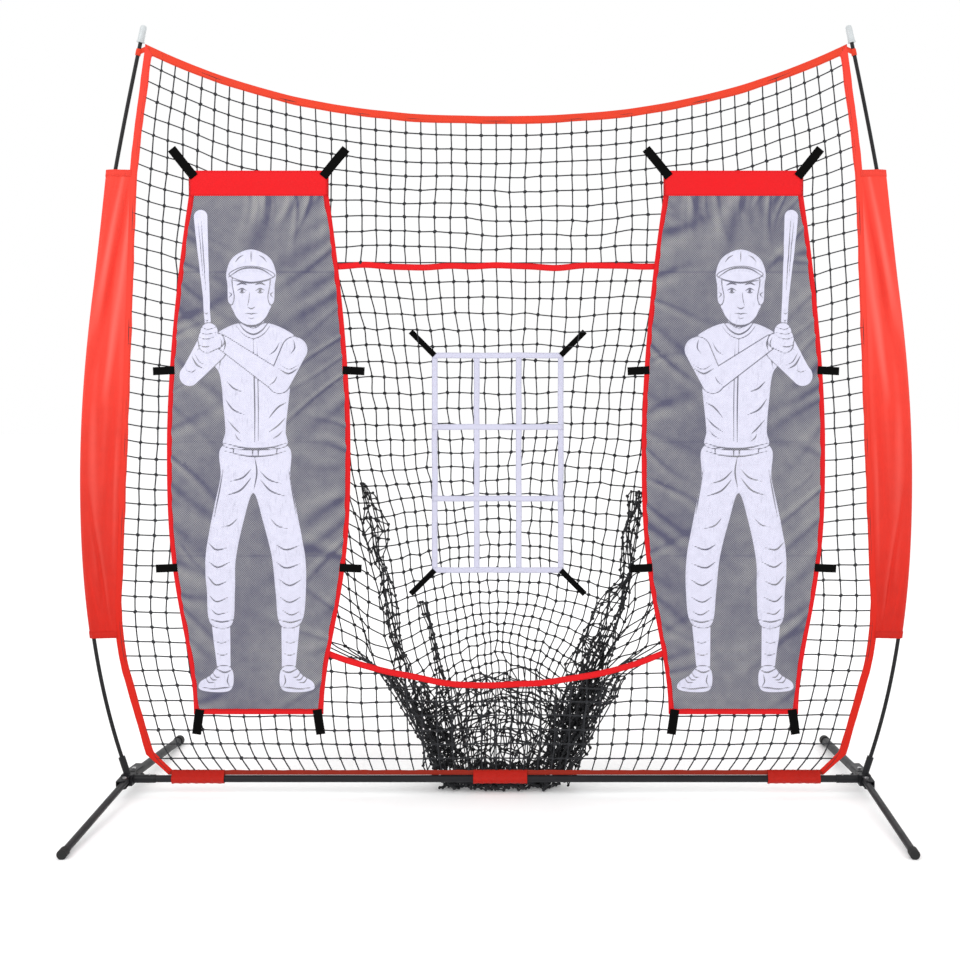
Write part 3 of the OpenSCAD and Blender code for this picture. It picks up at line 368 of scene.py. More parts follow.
def circle_rings(line, tangent, across, radius, sides):
    """Rings round the points of lines (m, n, 3): each is square to the line's tangent, and its
    first point lies towards the given direction."""
    side = unit(across - (across * tangent).sum(-1, keepdims=True) * tangent)
    other = np.cross(tangent, side)
    turn = 2 * np.pi * np.arange(sides) / sides
    radius = np.asarray(radius)[..., None, None]
    return line[:, :, None] + radius * (np.cos(turn)[:, None] * side[:, :, None]
                                        + np.sin(turn)[:, None] * other[:, :, None])


def cord_tubes(a, b, before, after, radius, sides=6, steps=3):
    """Closed tubes from every point a to its b, bent as a Catmull-Rom curve through the points
    before a and after b."""
    t = np.linspace(0, 1, steps + 1)[None, :, None]
    a, b, before, after = (v[:, None] for v in (a, b, before, after))
    c1, c2, c3 = b - before, 2 * before - 5 * a + 4 * b - after, 3 * a - before - 3 * b + after
    line = a + (c1 * t + c2 * t ** 2 + c3 * t ** 3) / 2
    tangent = unit(c1 + 2 * c2 * t + 3 * c3 * t ** 2)
    lengthways = np.abs(unit(b - a)[..., 1:2]) > 0.85
    across = np.where(lengthways, np.array([1.0, 0, 0]), np.array([0, 1.0, 0]))
    return sweep(circle_rings(line, tangent, across + 0 * tangent, np.full(line.shape[:2], radius),
                              sides))


KNOT = np.array([[x, y, z] for x in (-1, 0, 1) for y in (-1, 0, 1) for z in (-1, 0, 1)
                 if (x, y, z) != (0, 0, 0)], float)


def knot_quads():
    """The 24 quads of a cube cut in four on each side, over the 26 points of KNOT."""
    find = {tuple(p): i for i, p in enumerate(KNOT.astype(int))}
    quads = []
    for axis in range(3):
        for side in (-1, 1):
            u, v = (axis + 1) % 3, (axis + 2) % 3
            for i in (-1, 0):
                for j in (-1, 0):
                    corners = []
                    for du, dv in ((0, 0), (1, 0), (1, 1), (0, 1))[::side]:
                        p = [0, 0, 0]
                        p[axis], p[u], p[v] = side, i + du, j + dv
                        corners.append(find[tuple(p)])
                    quads.append(corners)
    return np.array(quads)


def knots(places, radius, seed):
    """A small round knot at every place: a cube cut in four and blown up to a ball, a little
    longer one way, each turned and sized at random."""
    rng = np.random.default_rng(seed)
    ball = unit(KNOT) * np.array([1.25, 0.85, 1.0])
    turn = rng.uniform(0, np.pi, len(places))[:, None]
    size = radius * rng.uniform(0.85, 1.15, len(places))[:, None, None]
    x = ball[:, 0] * np.cos(turn) - ball[:, 2] * np.sin(turn)
    z = ball[:, 0] * np.sin(turn) + ball[:, 2] * np.cos(turn)
    shape = np.stack([x, ball[:, 1] + 0 * x, z], -1) * size
    points = places[:, None] + shape
    quads = knot_quads()[None] + len(KNOT) * np.arange(len(places))[:, None, None]
    return points.reshape(-1, 3), quads.reshape(-1, 4)


def tape_profile(thickness):
    """Section of a flat tape: shares across its width and heights over its middle, rounded at
    both edges, going round from the inner edge over the front."""
    a = np.array([0, 0.03, 0.12, 0.5, 0.88, 0.97, 1.0, 0.97, 0.88, 0.5, 0.12, 0.03])
    b = np.array([0, 0.7, 1.0, 0.92, 1.0, 0.7, 0, -0.7, -1.0, -0.92, -1.0, -0.7])
    return a, b * thickness / 2


def tape_between(inner, outer, middle_y, thickness):
    """Closed flat tape between two edges in X and Z (n, 2), whose middle lies at middle_y (n)."""
    a, b = tape_profile(thickness)
    flat = inner[:, None] + (outer - inner)[:, None] * a[:, None]
    y = np.broadcast_to(np.asarray(middle_y)[..., None], flat.shape[:2]) - b
    rings = np.stack([flat[..., 0], y, flat[..., 1]], -1)[None]
    points, quads = sweep(rings)
    step = np.linalg.norm(np.diff((inner + outer) / 2, axis=0), axis=1)
    along = np.concatenate([[0], np.cumsum(step)])
    width = np.linalg.norm(outer - inner, axis=1)
    uv = np.stack([np.repeat(along, len(a)), (width[:, None] * a).ravel()], -1)
    return points, facing_out(points, quads), uv


def facing_out(points, quads):
    """The quads turned over if the closed shape that they make is inside out."""
    p = points[quads]
    volume = (np.cross(p[:, 1] - p[:, 0], p[:, 2] - p[:, 0]) * p[:, 0]).sum()
    volume += (np.cross(p[:, 2] - p[:, 0], p[:, 3] - p[:, 0]) * p[:, 0]).sum()
    return quads if volume > 0 else quads[:, ::-1]


def strip_along(path, width, thickness, middle_y):
    """Closed tape of one width along a path in X and Z (n, 2)."""
    heading = unit(np.gradient(path, axis=0))
    left = np.stack([-heading[:, 1], heading[:, 0]], -1)
    return tape_between(path + left * width / 2, path - left * width / 2,
                        np.broadcast_to(middle_y, len(path)), thickness)


def between(a, b, n):
    """n points on a straight line from a to b."""
    t = np.linspace(0, 1, n)[:, None]
    return np.asarray(a, float) * (1 - t) + np.asarray(b, float) * t


def through(points, steps, closed=False):
    """Smooth curve through points (n, 2), with the given steps between each two of them."""
    p = np.asarray(points, float)
    ends = (p[-1:], p[:2]) if closed else (2 * p[:1] - p[1:2], 2 * p[-1:] - p[-2:-1])
    q = np.concatenate([ends[0], p, ends[1]])
    n = len(p) if closed else len(p) - 1
    t = (np.arange(steps) / steps)[None, :, None]
    a, b, c, d = (q[k:k + n][:, None] for k in range(4))
    curve = b + ((c - a) * t + (2 * a - 5 * b + 4 * c - d) * t ** 2
                 + (3 * b - a - 3 * c + d) * t ** 3) / 2
    curve = curve.reshape(-1, p.shape[1])
    return curve if closed else np.concatenate([curve, p[-1:]])


# ---------------------------------------------------------------- shader tools

def is_socket(value):
    return isinstance(value, bpy.types.NodeSocket)


class Nodes:
    """A shader node tree under construction, with short ways to add nodes to it."""

    def __init__(self, tree):
        self.tree = tree

    def feed(self, socket, value):
        """Joins an output to a socket, or sets the socket to a plain value."""
        if is_socket(value):
            self.tree.links.new(value, socket)
        else:
            socket.default_value = value

    def node(self, kind, inputs, **settings):
        """A new node with its inputs, by name or by number, and its own settings."""
        made = self.tree.nodes.new("ShaderNode" + kind)
        for key, value in settings.items():
            setattr(made, key, value)
        for key, value in inputs.items():
            self.feed(made.inputs[key], value)
        return made

    def maths(self, operation, *values, clamp=False):
        return self.node("Math", dict(enumerate(values)), operation=operation,
                         use_clamp=clamp).outputs[0]

    def split(self, place):
        return self.node("SeparateXYZ", {0: place}).outputs

    def share(self, value, low, high, kind="LINEAR"):
        """Share of the way from low to high, from 0 to 1."""
        return self.node("MapRange", {"Value": value, "From Min": low, "From Max": high},
                         interpolation_type=kind).outputs[0]

    def noise(self, place, scale, detail=2.0):
        return self.node("TexNoise", {"Vector": place, "Scale": scale,
                                      "Detail": detail}).outputs["Fac"]

    def mapped(self, place, scale=(1, 1, 1), rotation=(0, 0, 0)):
        return self.node("Mapping", {"Vector": place, "Rotation": rotation,
                                     "Scale": scale}).outputs[0]


class Surface(Nodes):
    """A material under construction, built round its Principled shader."""

    def __init__(self, name, colour, roughness, metallic=0.0, coat=0.0, sheen=0.0, specular=0.5):
        self.material = bpy.data.materials.new(name)
        self.material.use_nodes = True
        super().__init__(self.material.node_tree)
        self.shader = self.tree.nodes["Principled BSDF"]
        self.set("Base Color", (*colour, 1))
        self.set("Roughness", roughness)
        self.set("Metallic", metallic)
        self.set("Coat Weight", coat)
        self.set("Sheen Weight", sheen)
        self.set("Specular IOR Level", specular)
        self.material.diffuse_color = (*colour, 1)

    def set(self, socket, value):
        self.feed(self.shader.inputs[socket], value)

    def effect(self, name, **inputs):
        """The outputs of an effect from the shared node groups."""
        return self.node("Group", {key.capitalize(): value for key, value in inputs.items()},
                         node_tree=bpy.data.node_groups[name]).outputs

    def patches(self, scale, place=None):
        return self.effect("patches", place=place or self.object_place(), scale=scale)["Mask"]

    def mix(self, share, a, b):
        """Colour a where the share is 0, and colour b where it is 1."""
        a, b = (colour if is_socket(colour) else (*colour[:3], 1) for colour in (a, b))
        return self.node("Mix", {0: share, 6: a, 7: b}, data_type="RGBA").outputs[2]

    def object_place(self):
        return self.node("TexCoord", {}).outputs["Object"]

    def cloth_place(self):
        return self.node("UVMap", {}, uv_map="cloth").outputs[0]

    def value_of(self, attribute):
        return self.node("Attribute", {}, attribute_name=attribute).outputs["Fac"]

    def bump(self, height, distance, strength):
        made = self.node("Bump", {"Strength": strength, "Distance": distance, "Height": height})
        self.set("Normal", made.outputs[0])


def new_group(name, inputs, outputs):
    """Empty shader node group, as its node tools, its inputs and its outputs. An input without
    a default is a place, and everything else is a number."""
    group = bpy.data.node_groups.new(name, "ShaderNodeTree")
    for label, default in inputs.items():
        kind = "NodeSocketVector" if default is None else "NodeSocketFloat"
        socket = group.interface.new_socket(label, in_out="INPUT", socket_type=kind)
        if default is not None:
            socket.default_value = default
    for label in outputs:
        group.interface.new_socket(label, in_out="OUTPUT", socket_type="NodeSocketFloat")
    return (Nodes(group), group.nodes.new("NodeGroupInput").outputs,
            group.nodes.new("NodeGroupOutput").inputs)


def build_weave():
    """Effect: threads over and under each other. Height is the product of a sine across and a
    sine along, at the thread's spacing, and Shade is lighter on the crowns of the threads."""
    n, given, made = new_group("weave", {"Place": None, "Thread": 0.001}, ["Height", "Shade"])
    turns = n.maths("DIVIDE", math.pi, given["Thread"])
    waves = [n.maths("SINE", n.maths("MULTIPLY", part, turns))
             for part in n.split(given["Place"])[:2]]
    height = n.maths("MULTIPLY_ADD", n.maths("MULTIPLY", *waves), 0.5, 0.5)
    n.feed(made["Height"], height)
    n.feed(made["Shade"], n.maths("POWER", height, 0.5))


def build_patches():
    """Effect: slow changes of tone, as dust, fading or uneven dye leave them. Mask is two noises
    of different size, stretched to use the range from 0 to 1."""
    n, given, made = new_group("patches", {"Place": None, "Scale": 8.0}, ["Mask"])
    broad, fine = [n.noise(given["Place"], n.maths("MULTIPLY", given["Scale"], share), detail)
                   for share, detail in ((1.0, 3.0), (6.3, 2.0))]
    both = n.maths("MULTIPLY_ADD", fine, 0.35, n.maths("MULTIPLY", broad, 0.65))
    n.feed(made["Mask"], n.share(both, 0.36, 0.64))


def build_stitches():
    """Effect: a row of stitches along a tape. Mask is 1 on a stitch, which lies within a thread
    of Line across the tape and fills six tenths of every Pitch along it."""
    n, given, made = new_group("stitches", {"Place": None, "Line": 0.003, "Pitch": 0.0045,
                                            "Thread": 0.0009}, ["Mask"])
    along, across, _ = n.split(given["Place"])
    off = n.maths("ABSOLUTE", n.maths("SUBTRACT", across, given["Line"]))
    near = n.maths("LESS_THAN", off, given["Thread"])
    share = n.maths("FRACT", n.maths("DIVIDE", along, given["Pitch"]))
    n.feed(made["Mask"], n.maths("MULTIPLY", near, n.maths("LESS_THAN", share, 0.62)))


def dyed(colour, *shares):
    """A colour with each channel times its own share."""
    return tuple(c * share for c, share in zip(colour, shares))


def darker(colour, share):
    return dyed(colour, share, share, share)


def lighter(colour, share, more=0.0):
    return tuple(min(1, c * share + more) for c in colour)


def steel_surface(name, colour, roughness=0.46, metallic=0.0, scuff=0.35):
    """Coated or plated steel: patches shift its tone and gloss, and fine noise roughens it."""
    coat, specular = (0, 0.5) if metallic else (0.05, 0.16)
    s = Surface(name, colour, roughness, metallic, coat=coat, specular=specular)
    place = s.object_place()
    patches = s.patches(14.0, place)
    s.set("Base Color", s.mix(s.maths("MULTIPLY", patches, scuff), colour,
                              lighter(colour, 1.5, 0.008)))
    s.set("Roughness", s.maths("MULTIPLY_ADD", patches, 0.18, roughness - 0.07))
    s.bump(s.noise(place, 900), 0.0002, 0.35)
    return s.material


def plain_surface(name, colour, roughness, specular=0.5):
    """Rubber or plastic: slow patches of tone and a fine moulded grain."""
    s = Surface(name, colour, roughness, specular=specular)
    place = s.object_place()
    patches = s.patches(30.0, place)
    s.set("Base Color", s.mix(patches, darker(colour, 0.9), lighter(colour, 1.08)))
    s.set("Roughness", s.maths("MULTIPLY_ADD", patches, 0.12, roughness - 0.06))
    s.bump(s.noise(place, 700), 0.0001, 0.5)
    return s.material


def cord_surface(name, colour):
    """Twisted net cord: its strands cross the piece aslant, and patches of it are greyer."""
    s = Surface(name, colour, 0.72, sheen=0.1, specular=0.3)
    place = s.object_place()
    strands = s.effect("weave", place=s.mapped(place, rotation=(0.6, 0.5, 0.785)), thread=0.0011)
    tone = s.maths("MULTIPLY", strands["Shade"],
                   s.maths("MULTIPLY_ADD", s.patches(22.0, place), 0.5, 0.25))
    s.set("Base Color", s.mix(tone, colour, lighter(colour, 1.9, 0.006)))
    s.bump(strands["Height"], 0.0004, 0.6)
    return s.material


def webbing_surface(name, colour, thread=0.0011, lines=(), stitch=None, roughness=0.62, deep=0.72,
                    sheen=0.05, specular=0.14, foot=None):
    """Woven tape on its own UV, in metres along and across: threads, patches of tone, and rows of
    stitches at the given places across. The colour may darken towards the net's foot as painted
    shade."""
    s = Surface(name, colour, roughness, sheen=sheen, specular=specular)
    s.set("Sheen Roughness", 0.4)
    place = s.cloth_place()
    weave = s.effect("weave", place=place, thread=thread)
    patches = s.patches(9.0)
    tone = s.maths("MULTIPLY_ADD", weave["Shade"], 0.55, s.maths("MULTIPLY", patches, 0.45))
    look = s.mix(tone, darker(colour, deep), colour)
    # Painted shade: the colour darkens towards the net's foot, as on the sleeves
    if foot:
        look = s.mix(sleeve_height(s), foot, look)
    height = weave["Height"]
    for line in lines:
        mask = s.effect("stitches", place=place, line=line)["Mask"]
        look = s.mix(s.maths("MULTIPLY", mask, 0.7), look, stitch or darker(colour, 0.6))
        height = s.maths("MULTIPLY_ADD", mask, 1.2, height)
    s.set("Base Color", look)
    s.set("Roughness", s.maths("MULTIPLY_ADD", patches, 0.15, roughness - 0.08))
    s.bump(height, 0.0004, 0.7)
    return s.material


def strap_surface(name, thread):
    """Black hook-and-loop strap, rough and without gloss."""
    return webbing_surface(name, settings().colours.strap, thread=thread, deep=0.4, roughness=0.8,
                           sheen=0.0, specular=0.05)


def sleeve_height(s, place=None):
    """Share of the way up from the sleeves' feet to where their painted shade ends and their reds
    are brightest.
    """
    return s.share(s.split(place or s.object_place())[2], SLEEVE_LOW[2], SLEEVE_SHADE_TOP)


def foot_shade_red(colour):
    """The darker red painted as shade on the sleeves and the side tapes towards their feet."""
    return dyed(colour, 0.70, 0.26, 0.18)


def sleeve_surface(name, colour, folded=True):
    """Dense woven polyester with a satin gloss: fine threads, creases from long thin noise, a
    painted highlight on the ridges of the folds, painted shade of deeper red in their grooves, and
    a darker red painted as shade towards the foot."""
    s = Surface(name, colour, 0.46, specular=0.16)
    body = s.object_place()
    weave = s.effect("weave", place=s.cloth_place(), thread=0.0008)
    crease = s.noise(s.mapped(body, scale=(5.0, 5.0, 1.1)), 7, 5)
    patches = s.patches(5.0, body)
    tone = s.maths("MULTIPLY_ADD", weave["Shade"], 0.35, s.maths("MULTIPLY", patches, 0.65))
    # Painted shade: the red darkens from where the sleeve is brightest down to its foot
    height = sleeve_height(s, body)
    deep = foot_shade_red(colour)
    look = s.mix(height, s.mix(tone, darker(deep, 0.8), deep),
                 s.mix(tone, darker(colour, 0.84), colour))
    if folded:
        # Painted highlight on the ridges of the folds and painted shade in their grooves, from the
        # piece's fold value
        fold = s.value_of("fold")
        ridge = s.maths("MULTIPLY_ADD", fold, 2.3, -1.15, clamp=True)
        groove = s.maths("MULTIPLY_ADD", fold, -2.2, 1.0, clamp=True)
        # The painted highlight's colour, a paler red
        pale = (min(1, colour[0] * 1.08), colour[1] * 2.6 + 0.01, colour[2] * 3.2 + 0.01)
        look = s.mix(s.maths("MULTIPLY", ridge, s.maths("MULTIPLY_ADD", height, 0.80, 0.08)),
                     look, pale)
        # Painted shade in the grooves of the folds
        look = s.mix(s.maths("MULTIPLY", groove, 0.8), look, dyed(colour, 0.84, 0.42, 0.35))
    s.set("Base Color", look)
    s.set("Roughness", s.maths("MULTIPLY_ADD", patches, 0.14, 0.34))
    s.bump(s.maths("MULTIPLY_ADD", crease, 9.0, weave["Height"]), 0.0005, 0.6)
    return s.material


def panel_surface(name, cloth_colour, ink_colour, weave):
    """Perforated mesh with a pale print. The holes lie on a slanting lattice. The print covers the
    cloth where the piece's own print value is below 0, its lines are left bare, and slanting pencil
    strokes shade it. The grey cloth carries the painted light and shade of the folds, warmer and
    lighter on their lit flanks and bluer and darker on the others, and patches of tone shift it at
    random."""
    s = Surface(name, cloth_colour, 0.66, sheen=0.1, specular=0.25)
    place, body = s.cloth_place(), s.object_place()
    waves = [s.maths("COSINE", s.maths("MULTIPLY", part, 2 * math.pi / weave))
             for part in s.split(place)[:2]]
    holes = s.maths("MULTIPLY_ADD", s.maths("MULTIPLY", *waves), 1.6, 0.42, clamp=True)
    # Painted light and shade of the folds, from the fold value, with patches of tone at random
    painted_light_and_tone = s.maths("MULTIPLY_ADD", s.maths("SUBTRACT", s.patches(6.0, body), 0.5), 0.35,
                   s.value_of("fold"), clamp=True)
    # The grey runs from a bluer, darker painted shade to a warmer, lighter painted light
    grey = s.mix(painted_light_and_tone, dyed(cloth_colour, 0.46, 0.46, 0.60), dyed(cloth_colour, 1.70, 1.70, 1.32))
    bare = s.mix(s.maths("MULTIPLY", holes, 0.80), grey, darker(cloth_colour, 0.16))
    printed = s.share(s.value_of("print_edge"), 0.0008, -0.0008, "SMOOTHSTEP")
    strokes = s.noise(s.mapped(place, scale=(1.0, 0.16, 1.0), rotation=(0, 0, 0.45)), 170, 3)
    pencil = s.maths("MULTIPLY_ADD", strokes, 8.0, -4.5, clamp=True)
    shaded = s.maths("MULTIPLY_ADD", s.patches(11.0, body), 2.0, -0.6, clamp=True)
    tone = s.maths("MULTIPLY_ADD", s.patches(55.0, body), 0.26, s.value_of("print_tone"),
                   clamp=True)
    tone = s.maths("MULTIPLY_ADD", s.maths("MULTIPLY", pencil, shaded), 0.50, tone, clamp=True)
    ink = s.mix(s.maths("MULTIPLY", holes, 0.12), ink_colour, cloth_colour)
    ink = s.mix(tone, ink, tuple(0.55 * a + 0.45 * b for a, b in zip(cloth_colour, ink_colour)))
    s.set("Base Color", s.mix(printed, bare, ink))
    s.set("Roughness", s.maths("MULTIPLY_ADD", printed, -0.12, 0.70))
    s.bump(s.maths("SUBTRACT", 1.0, holes), 0.0005, 0.6)
    return s.material


# ---------------------------------------------------------------- the face of the net

def face_nodes(net):
    """Places of the face net's knots, by row and column. A row's height is a level in the middle
    plus a share of the top edge's rise, which grows with the level's share to the power 1.8, and
    near the mouth's upper band the rows lie level. A column keeps its share of the half width,
    with the mouth's columns evenly inside the mouth. Both wander a little."""
    v = np.linspace(0, 1, net.rows + 1)[:, None]
    s = np.linspace(-1, 1, net.columns + 1)[None, :]
    tuck = 0.008
    low = HEM_HIGH[2] - tuck
    crown = top_in_z(0.0) + tuck
    level = low + (crown - low) * v
    mouth_share = net.mouth_columns / net.columns
    cut_end = 0.2

    def across(z):
        """Places across at a height: the net's foot is narrower where its corners are cut off."""
        corner = np.interp(z, [low, 0.119, cut_end],
                           [HEM_INNER, CUT_INNER, edge_x(cut_end) - TAPE_W])
        half = np.where(z < cut_end, corner, edge_x(z) - TAPE_W) + tuck
        share = np.interp(np.abs(s), [0, mouth_share, 1], [0, 1, 2])
        inside = MOUTH_HALF * np.minimum(share, 1)
        outside = (half - MOUTH_HALF) * np.maximum(share - 1, 0)
        fitted = inside + outside
        plain = np.abs(s) * half
        fade = np.clip((0.42 - z) / 0.34, 0, 1)
        return np.sign(s) * (fitted * (1 - fade) + plain * fade)

    x = across(level + 0 * s)
    rise = top_in_z(x) - top_in_z(0.0)
    z = level + rise * v ** 1.8
    band_share = (MOUTH_TOP - low) / (crown - low)
    flat = np.exp(-((v - band_share) / 0.09) ** 2)
    flat = flat * (1 - np.clip((np.abs(x) - 0.45) / 0.40, 0, 1) ** 1.5)
    z = z - flat * rise * band_share ** 1.8
    x = across(z)
    from_rim = np.minimum(np.minimum(v, 1 - v), 1 - np.abs(s)) * 8
    wander = np.clip(np.minimum(from_rim, np.abs(mouth_gap(x, z)) / 0.05), 0, 1)
    shape = z.shape
    x = x + net.wobble * wander * (soft_noise(shape, 6, 11) + 0.35 * soft_noise(shape, 0, 12))
    z = z + net.wobble * wander * (soft_noise(shape, 6, 13) + 0.35 * soft_noise(shape, 0, 14))
    y = 0.0025 * wander * np.abs(soft_noise(shape, 8, 15))
    return np.stack([x, y, z], -1)


def grid_edges(nodes):
    """Every side of the squares of a grid of nodes, as (start, end, before, after) points: the
    sides along the rows first, then those along the columns."""
    sets = []
    for grid in (nodes, nodes.swapaxes(0, 1)):
        longer = np.concatenate([2 * grid[:, :1] - grid[:, 1:2], grid,
                                 2 * grid[:, -1:] - grid[:, -2:-1]], axis=1)
        sets.append([longer[:, k:k + grid.shape[1] - 1].reshape(-1, 3) for k in (1, 2, 0, 3)])
    return [np.concatenate(pair) for pair in zip(*sets)]


def region_of(points):
    """Which CAD node of the face net a point belongs to: 0 top, 1 left, 2 right, 3 bottom."""
    x, z = points[:, 0], points[:, 2]
    beside = np.where(x < 0, 1, 2)
    return np.where(z > HEAD_HIGH[2], 0, np.where(z < MOUTH_LOW - BAND_W / 2, 3, beside))


def build_face_net():
    """Knotted cords of the face of the net, without those inside the pocket's mouth. A cord that
    crosses the mouth's edge ends there, where its distance outside the mouth falls to nothing."""
    net, colours = settings().net, settings().colours
    nodes = face_nodes(net)
    a, b, before, after = grid_edges(nodes)
    gap_a = mouth_gap(a[:, 0], a[:, 2]) - 0.001
    gap_b = mouth_gap(b[:, 0], b[:, 2]) - 0.001
    seen = (gap_a > 0) | (gap_b > 0)
    span = np.where(np.abs(gap_a - gap_b) < 1e-9, 1, gap_a - gap_b)
    crossing = a + (b - a) * np.clip(gap_a / span, 0, 1)[:, None]
    start = np.where((gap_a > 0)[:, None], a, crossing)
    end = np.where((gap_b > 0)[:, None], b, crossing)
    seen &= np.linalg.norm(end - start, axis=1) > 0.004
    before = np.where((gap_a > 0)[:, None], before, 2 * start - end)
    after = np.where((gap_b > 0)[:, None], after, 2 * end - start)
    inner = nodes[1:-1, 1:-1].reshape(-1, 3)
    inner = inner[mouth_gap(inner[:, 0], inner[:, 2]) > BAND_W / 2 + 0.002]
    region, knot_region = region_of((start + end) / 2), region_of(inner)
    cord = cord_surface("net cord", colours.cord)
    for k, part in enumerate(["top", "left", "right", "bottom"]):
        pick = seen & (region == k)
        tubes = cord_tubes(start[pick], end[pick], before[pick], after[pick], net.cord_d / 2)
        balls = knots(inner[knot_region == k], net.knot_d / 2, 40 + k)
        make_piece(f"knotted_net_{part}", join_shapes([tubes, balls]), cord,
                   [f"net_{part}"])


# ---------------------------------------------------------------- the pocket

def askew(z, heights, halves, spread):
    """Half widths at heights z on the left and on the right, from a table for each side."""
    return [soft_table(z, heights, halves[side], spread) for side in (-1, 1)]


def low_share(z):
    """How far down the pocket a height lies: 0 in its calm upper part, and 1 near the ground."""
    return np.clip((1.15 - z) / 0.75, 0, 1)


def clear_of_bar(y, z, least):
    """Depths of at least that much, and behind the crossbar where they are as low as it."""
    return np.maximum(y, np.where(z < 0.075, 0.016, least))


def pocket_drop(z, most):
    """How far the pocket's rows fall from the mouth to the back at the heights z."""
    return most * np.sin(np.pi * np.clip((z - 0.05) / 1.42, 0, 1)) ** 1.2


def pocket_arch(z, most):
    """How far the pocket's rows rise in the middle of the back at the heights z."""
    return most * low_share(z) * np.clip(z / 0.3, 0, 1)


# How high the middle of a knot stays over the ground: half of the longest knot
KNOT_LOWEST = 0.0067


def pocket_nodes(pocket, columns):
    """Places of the pocket's knots, by row from the ground up and by column from the left side
    of the mouth, round the back, to the right side. Each row goes straight back from the mouth
    to a corner and straight across, with the corner then rounded. Its height falls by the drop
    on the way back, and it arches in the middle. Folds push the nodes to and fro near the
    corners, more towards the ground. The levels lie between even ones and those that would make
    the rows even in the middle of the back."""
    n = pocket.side_columns
    v = np.linspace(0, 1, pocket.rows + 1)[:, None]
    even = 0.040 + (MOUTH_TOP - 0.040) * v
    centre = even - pocket_drop(even, pocket.drop) + pocket_arch(even, pocket.arch)
    z = (even + np.interp(even, centre[:, 0], even[:, 0])) / 2
    depth = soft_table(z, BACK_HEIGHTS, BACK_DEPTHS, 0.05)
    depth = np.where(v > 0.999, BACK_DEPTHS[-1], depth)
    back_left, back_right = askew(z, HALF_HEIGHTS, BACK_HALVES, 0.03)
    front_left, front_right = askew(z, FRONT_HEIGHTS, FRONT_HALVES, 0.012)
    t = np.linspace(0, 1, n + 1)[None, :-1]
    s = np.linspace(-1, 1, columns + 1)[None, :]
    left_x = front_left + (back_left - front_left) * t
    right_x = front_right + (back_right - front_right) * t
    side_y = 0.004 + (depth - 0.004) * t
    back_x = np.where(s < 0, back_left, back_right) * s
    back_y = depth * (1 - 0.10 * s ** 4)
    x = np.concatenate([-left_x, back_x, right_x[:, ::-1]], axis=1)
    y = np.concatenate([side_y, back_y, side_y[:, ::-1]], axis=1)
    power = 0.8 + 0.8 * np.clip((0.7 - z) / 0.25, 0, 1)
    fall = np.concatenate([t ** power, 1 + 0 * s * z, t[:, ::-1] ** power], axis=1)
    swell = np.concatenate([0 * t, 1 - np.abs(s) ** 1.6, 0 * t], axis=1)
    for _ in range(3):
        for w in (x, y):
            w[:, 1:-1] = (w[:, :-2] + 2 * w[:, 1:-1] + w[:, 2:]) / 4
    slack = low_share(z) ** 0.8
    z = z - pocket_drop(z, pocket.drop) * fall + pocket_arch(z, pocket.arch) * swell
    x, y, z = (w + 0 * x for w in (x, y, z))
    k = np.arange(x.shape[1])[None, :]
    corner = np.exp(-((np.minimum(k - n, x.shape[1] - 1 - n - k) + 0.5) / 3.4) ** 2)
    inside = (1 - np.abs(2 * k / (x.shape[1] - 1) - 1) ** 12) * np.clip((1 - v) * 12, 0, 1)
    fold = pocket.gather * corner * slack
    shape = x.shape
    y = y + inside * fold * np.sin(k * 2.1 + 7.2 * v + soft_noise(shape, 10, 21)) * 0.9
    x = x + inside * fold * np.cos(k * 1.7 + 5 * v + soft_noise(shape, 10, 22)) * 0.7
    rough = inside * (0.0035 + 0.010 * np.clip((0.38 - z) / 0.3, 0, 1))
    x = x + rough * (0.8 * soft_noise(shape, 4, 23) + 0.45 * soft_noise(shape, 0, 24))
    y = y + rough * (1.0 * soft_noise(shape, 4, 25) + 0.45 * soft_noise(shape, 0, 26))
    z = z + rough * (0.8 * soft_noise(shape, 4, 27) + 0.45 * soft_noise(shape, 0, 28))
    y = clear_of_bar(y, z, 0.0035)
    margin = 0.03
    behind = (np.abs(x) < ZONE_HIGH[0] + margin) & (z > ZONE_LOW[2] - margin) & (
        z < ZONE_HIGH[2] + margin)
    y = np.where(behind, np.maximum(y, ZONE_HIGH[1] + settings().net.cord_d), y)
    return np.stack([x, y, np.maximum(z, KNOT_LOWEST)], -1)


def net_mesh(nodes, net, seed, places=None):
    """Points and quads of a knotted net through a grid of nodes, with a knot at every node or
    at the given places."""
    places = nodes if places is None else places
    return join_shapes([cord_tubes(*grid_edges(nodes), net.cord_d / 2),
                        knots(places.reshape(-1, 3), net.knot_d / 2, seed)])


def build_pocket():
    """The ball pocket: one knotted net round its sides and back, the folds of slack net along its
    corners, and the heap of loose net that lies on the ground behind the crossbar."""
    net, pocket, colours = settings().net, settings().pocket, settings().colours
    nodes = pocket_nodes(pocket, net.mouth_columns)
    cord = cord_surface("pocket cord", darker(colours.cord, 0.8))
    n = pocket.side_columns
    thirds = {"left": slice(0, n + 1), "back": slice(n, -n), "right": slice(-n - 1, None)}
    for name, columns in thirds.items():
        part = nodes[:, columns]
        places = part[:-1] if name == "back" else part[:-1, 1:-1]
        make_piece(f"pocket_bag_{name}", net_mesh(part, net, 50, places), cord,
                   [f"pocket_{name}"])
    for name, folds in SLACK_FOLDS.items():
        shapes = [net_mesh(slack_nodes(*fold, 300 + k), net, 70 + k)
                  for k, fold in enumerate(folds)]
        make_piece(f"pocket_folds_{name}", join_shapes(shapes), cord)
    make_piece("pocket_heap", net_mesh(heap_nodes(pocket), net, 60), cord,
               ["pocket_floor"])


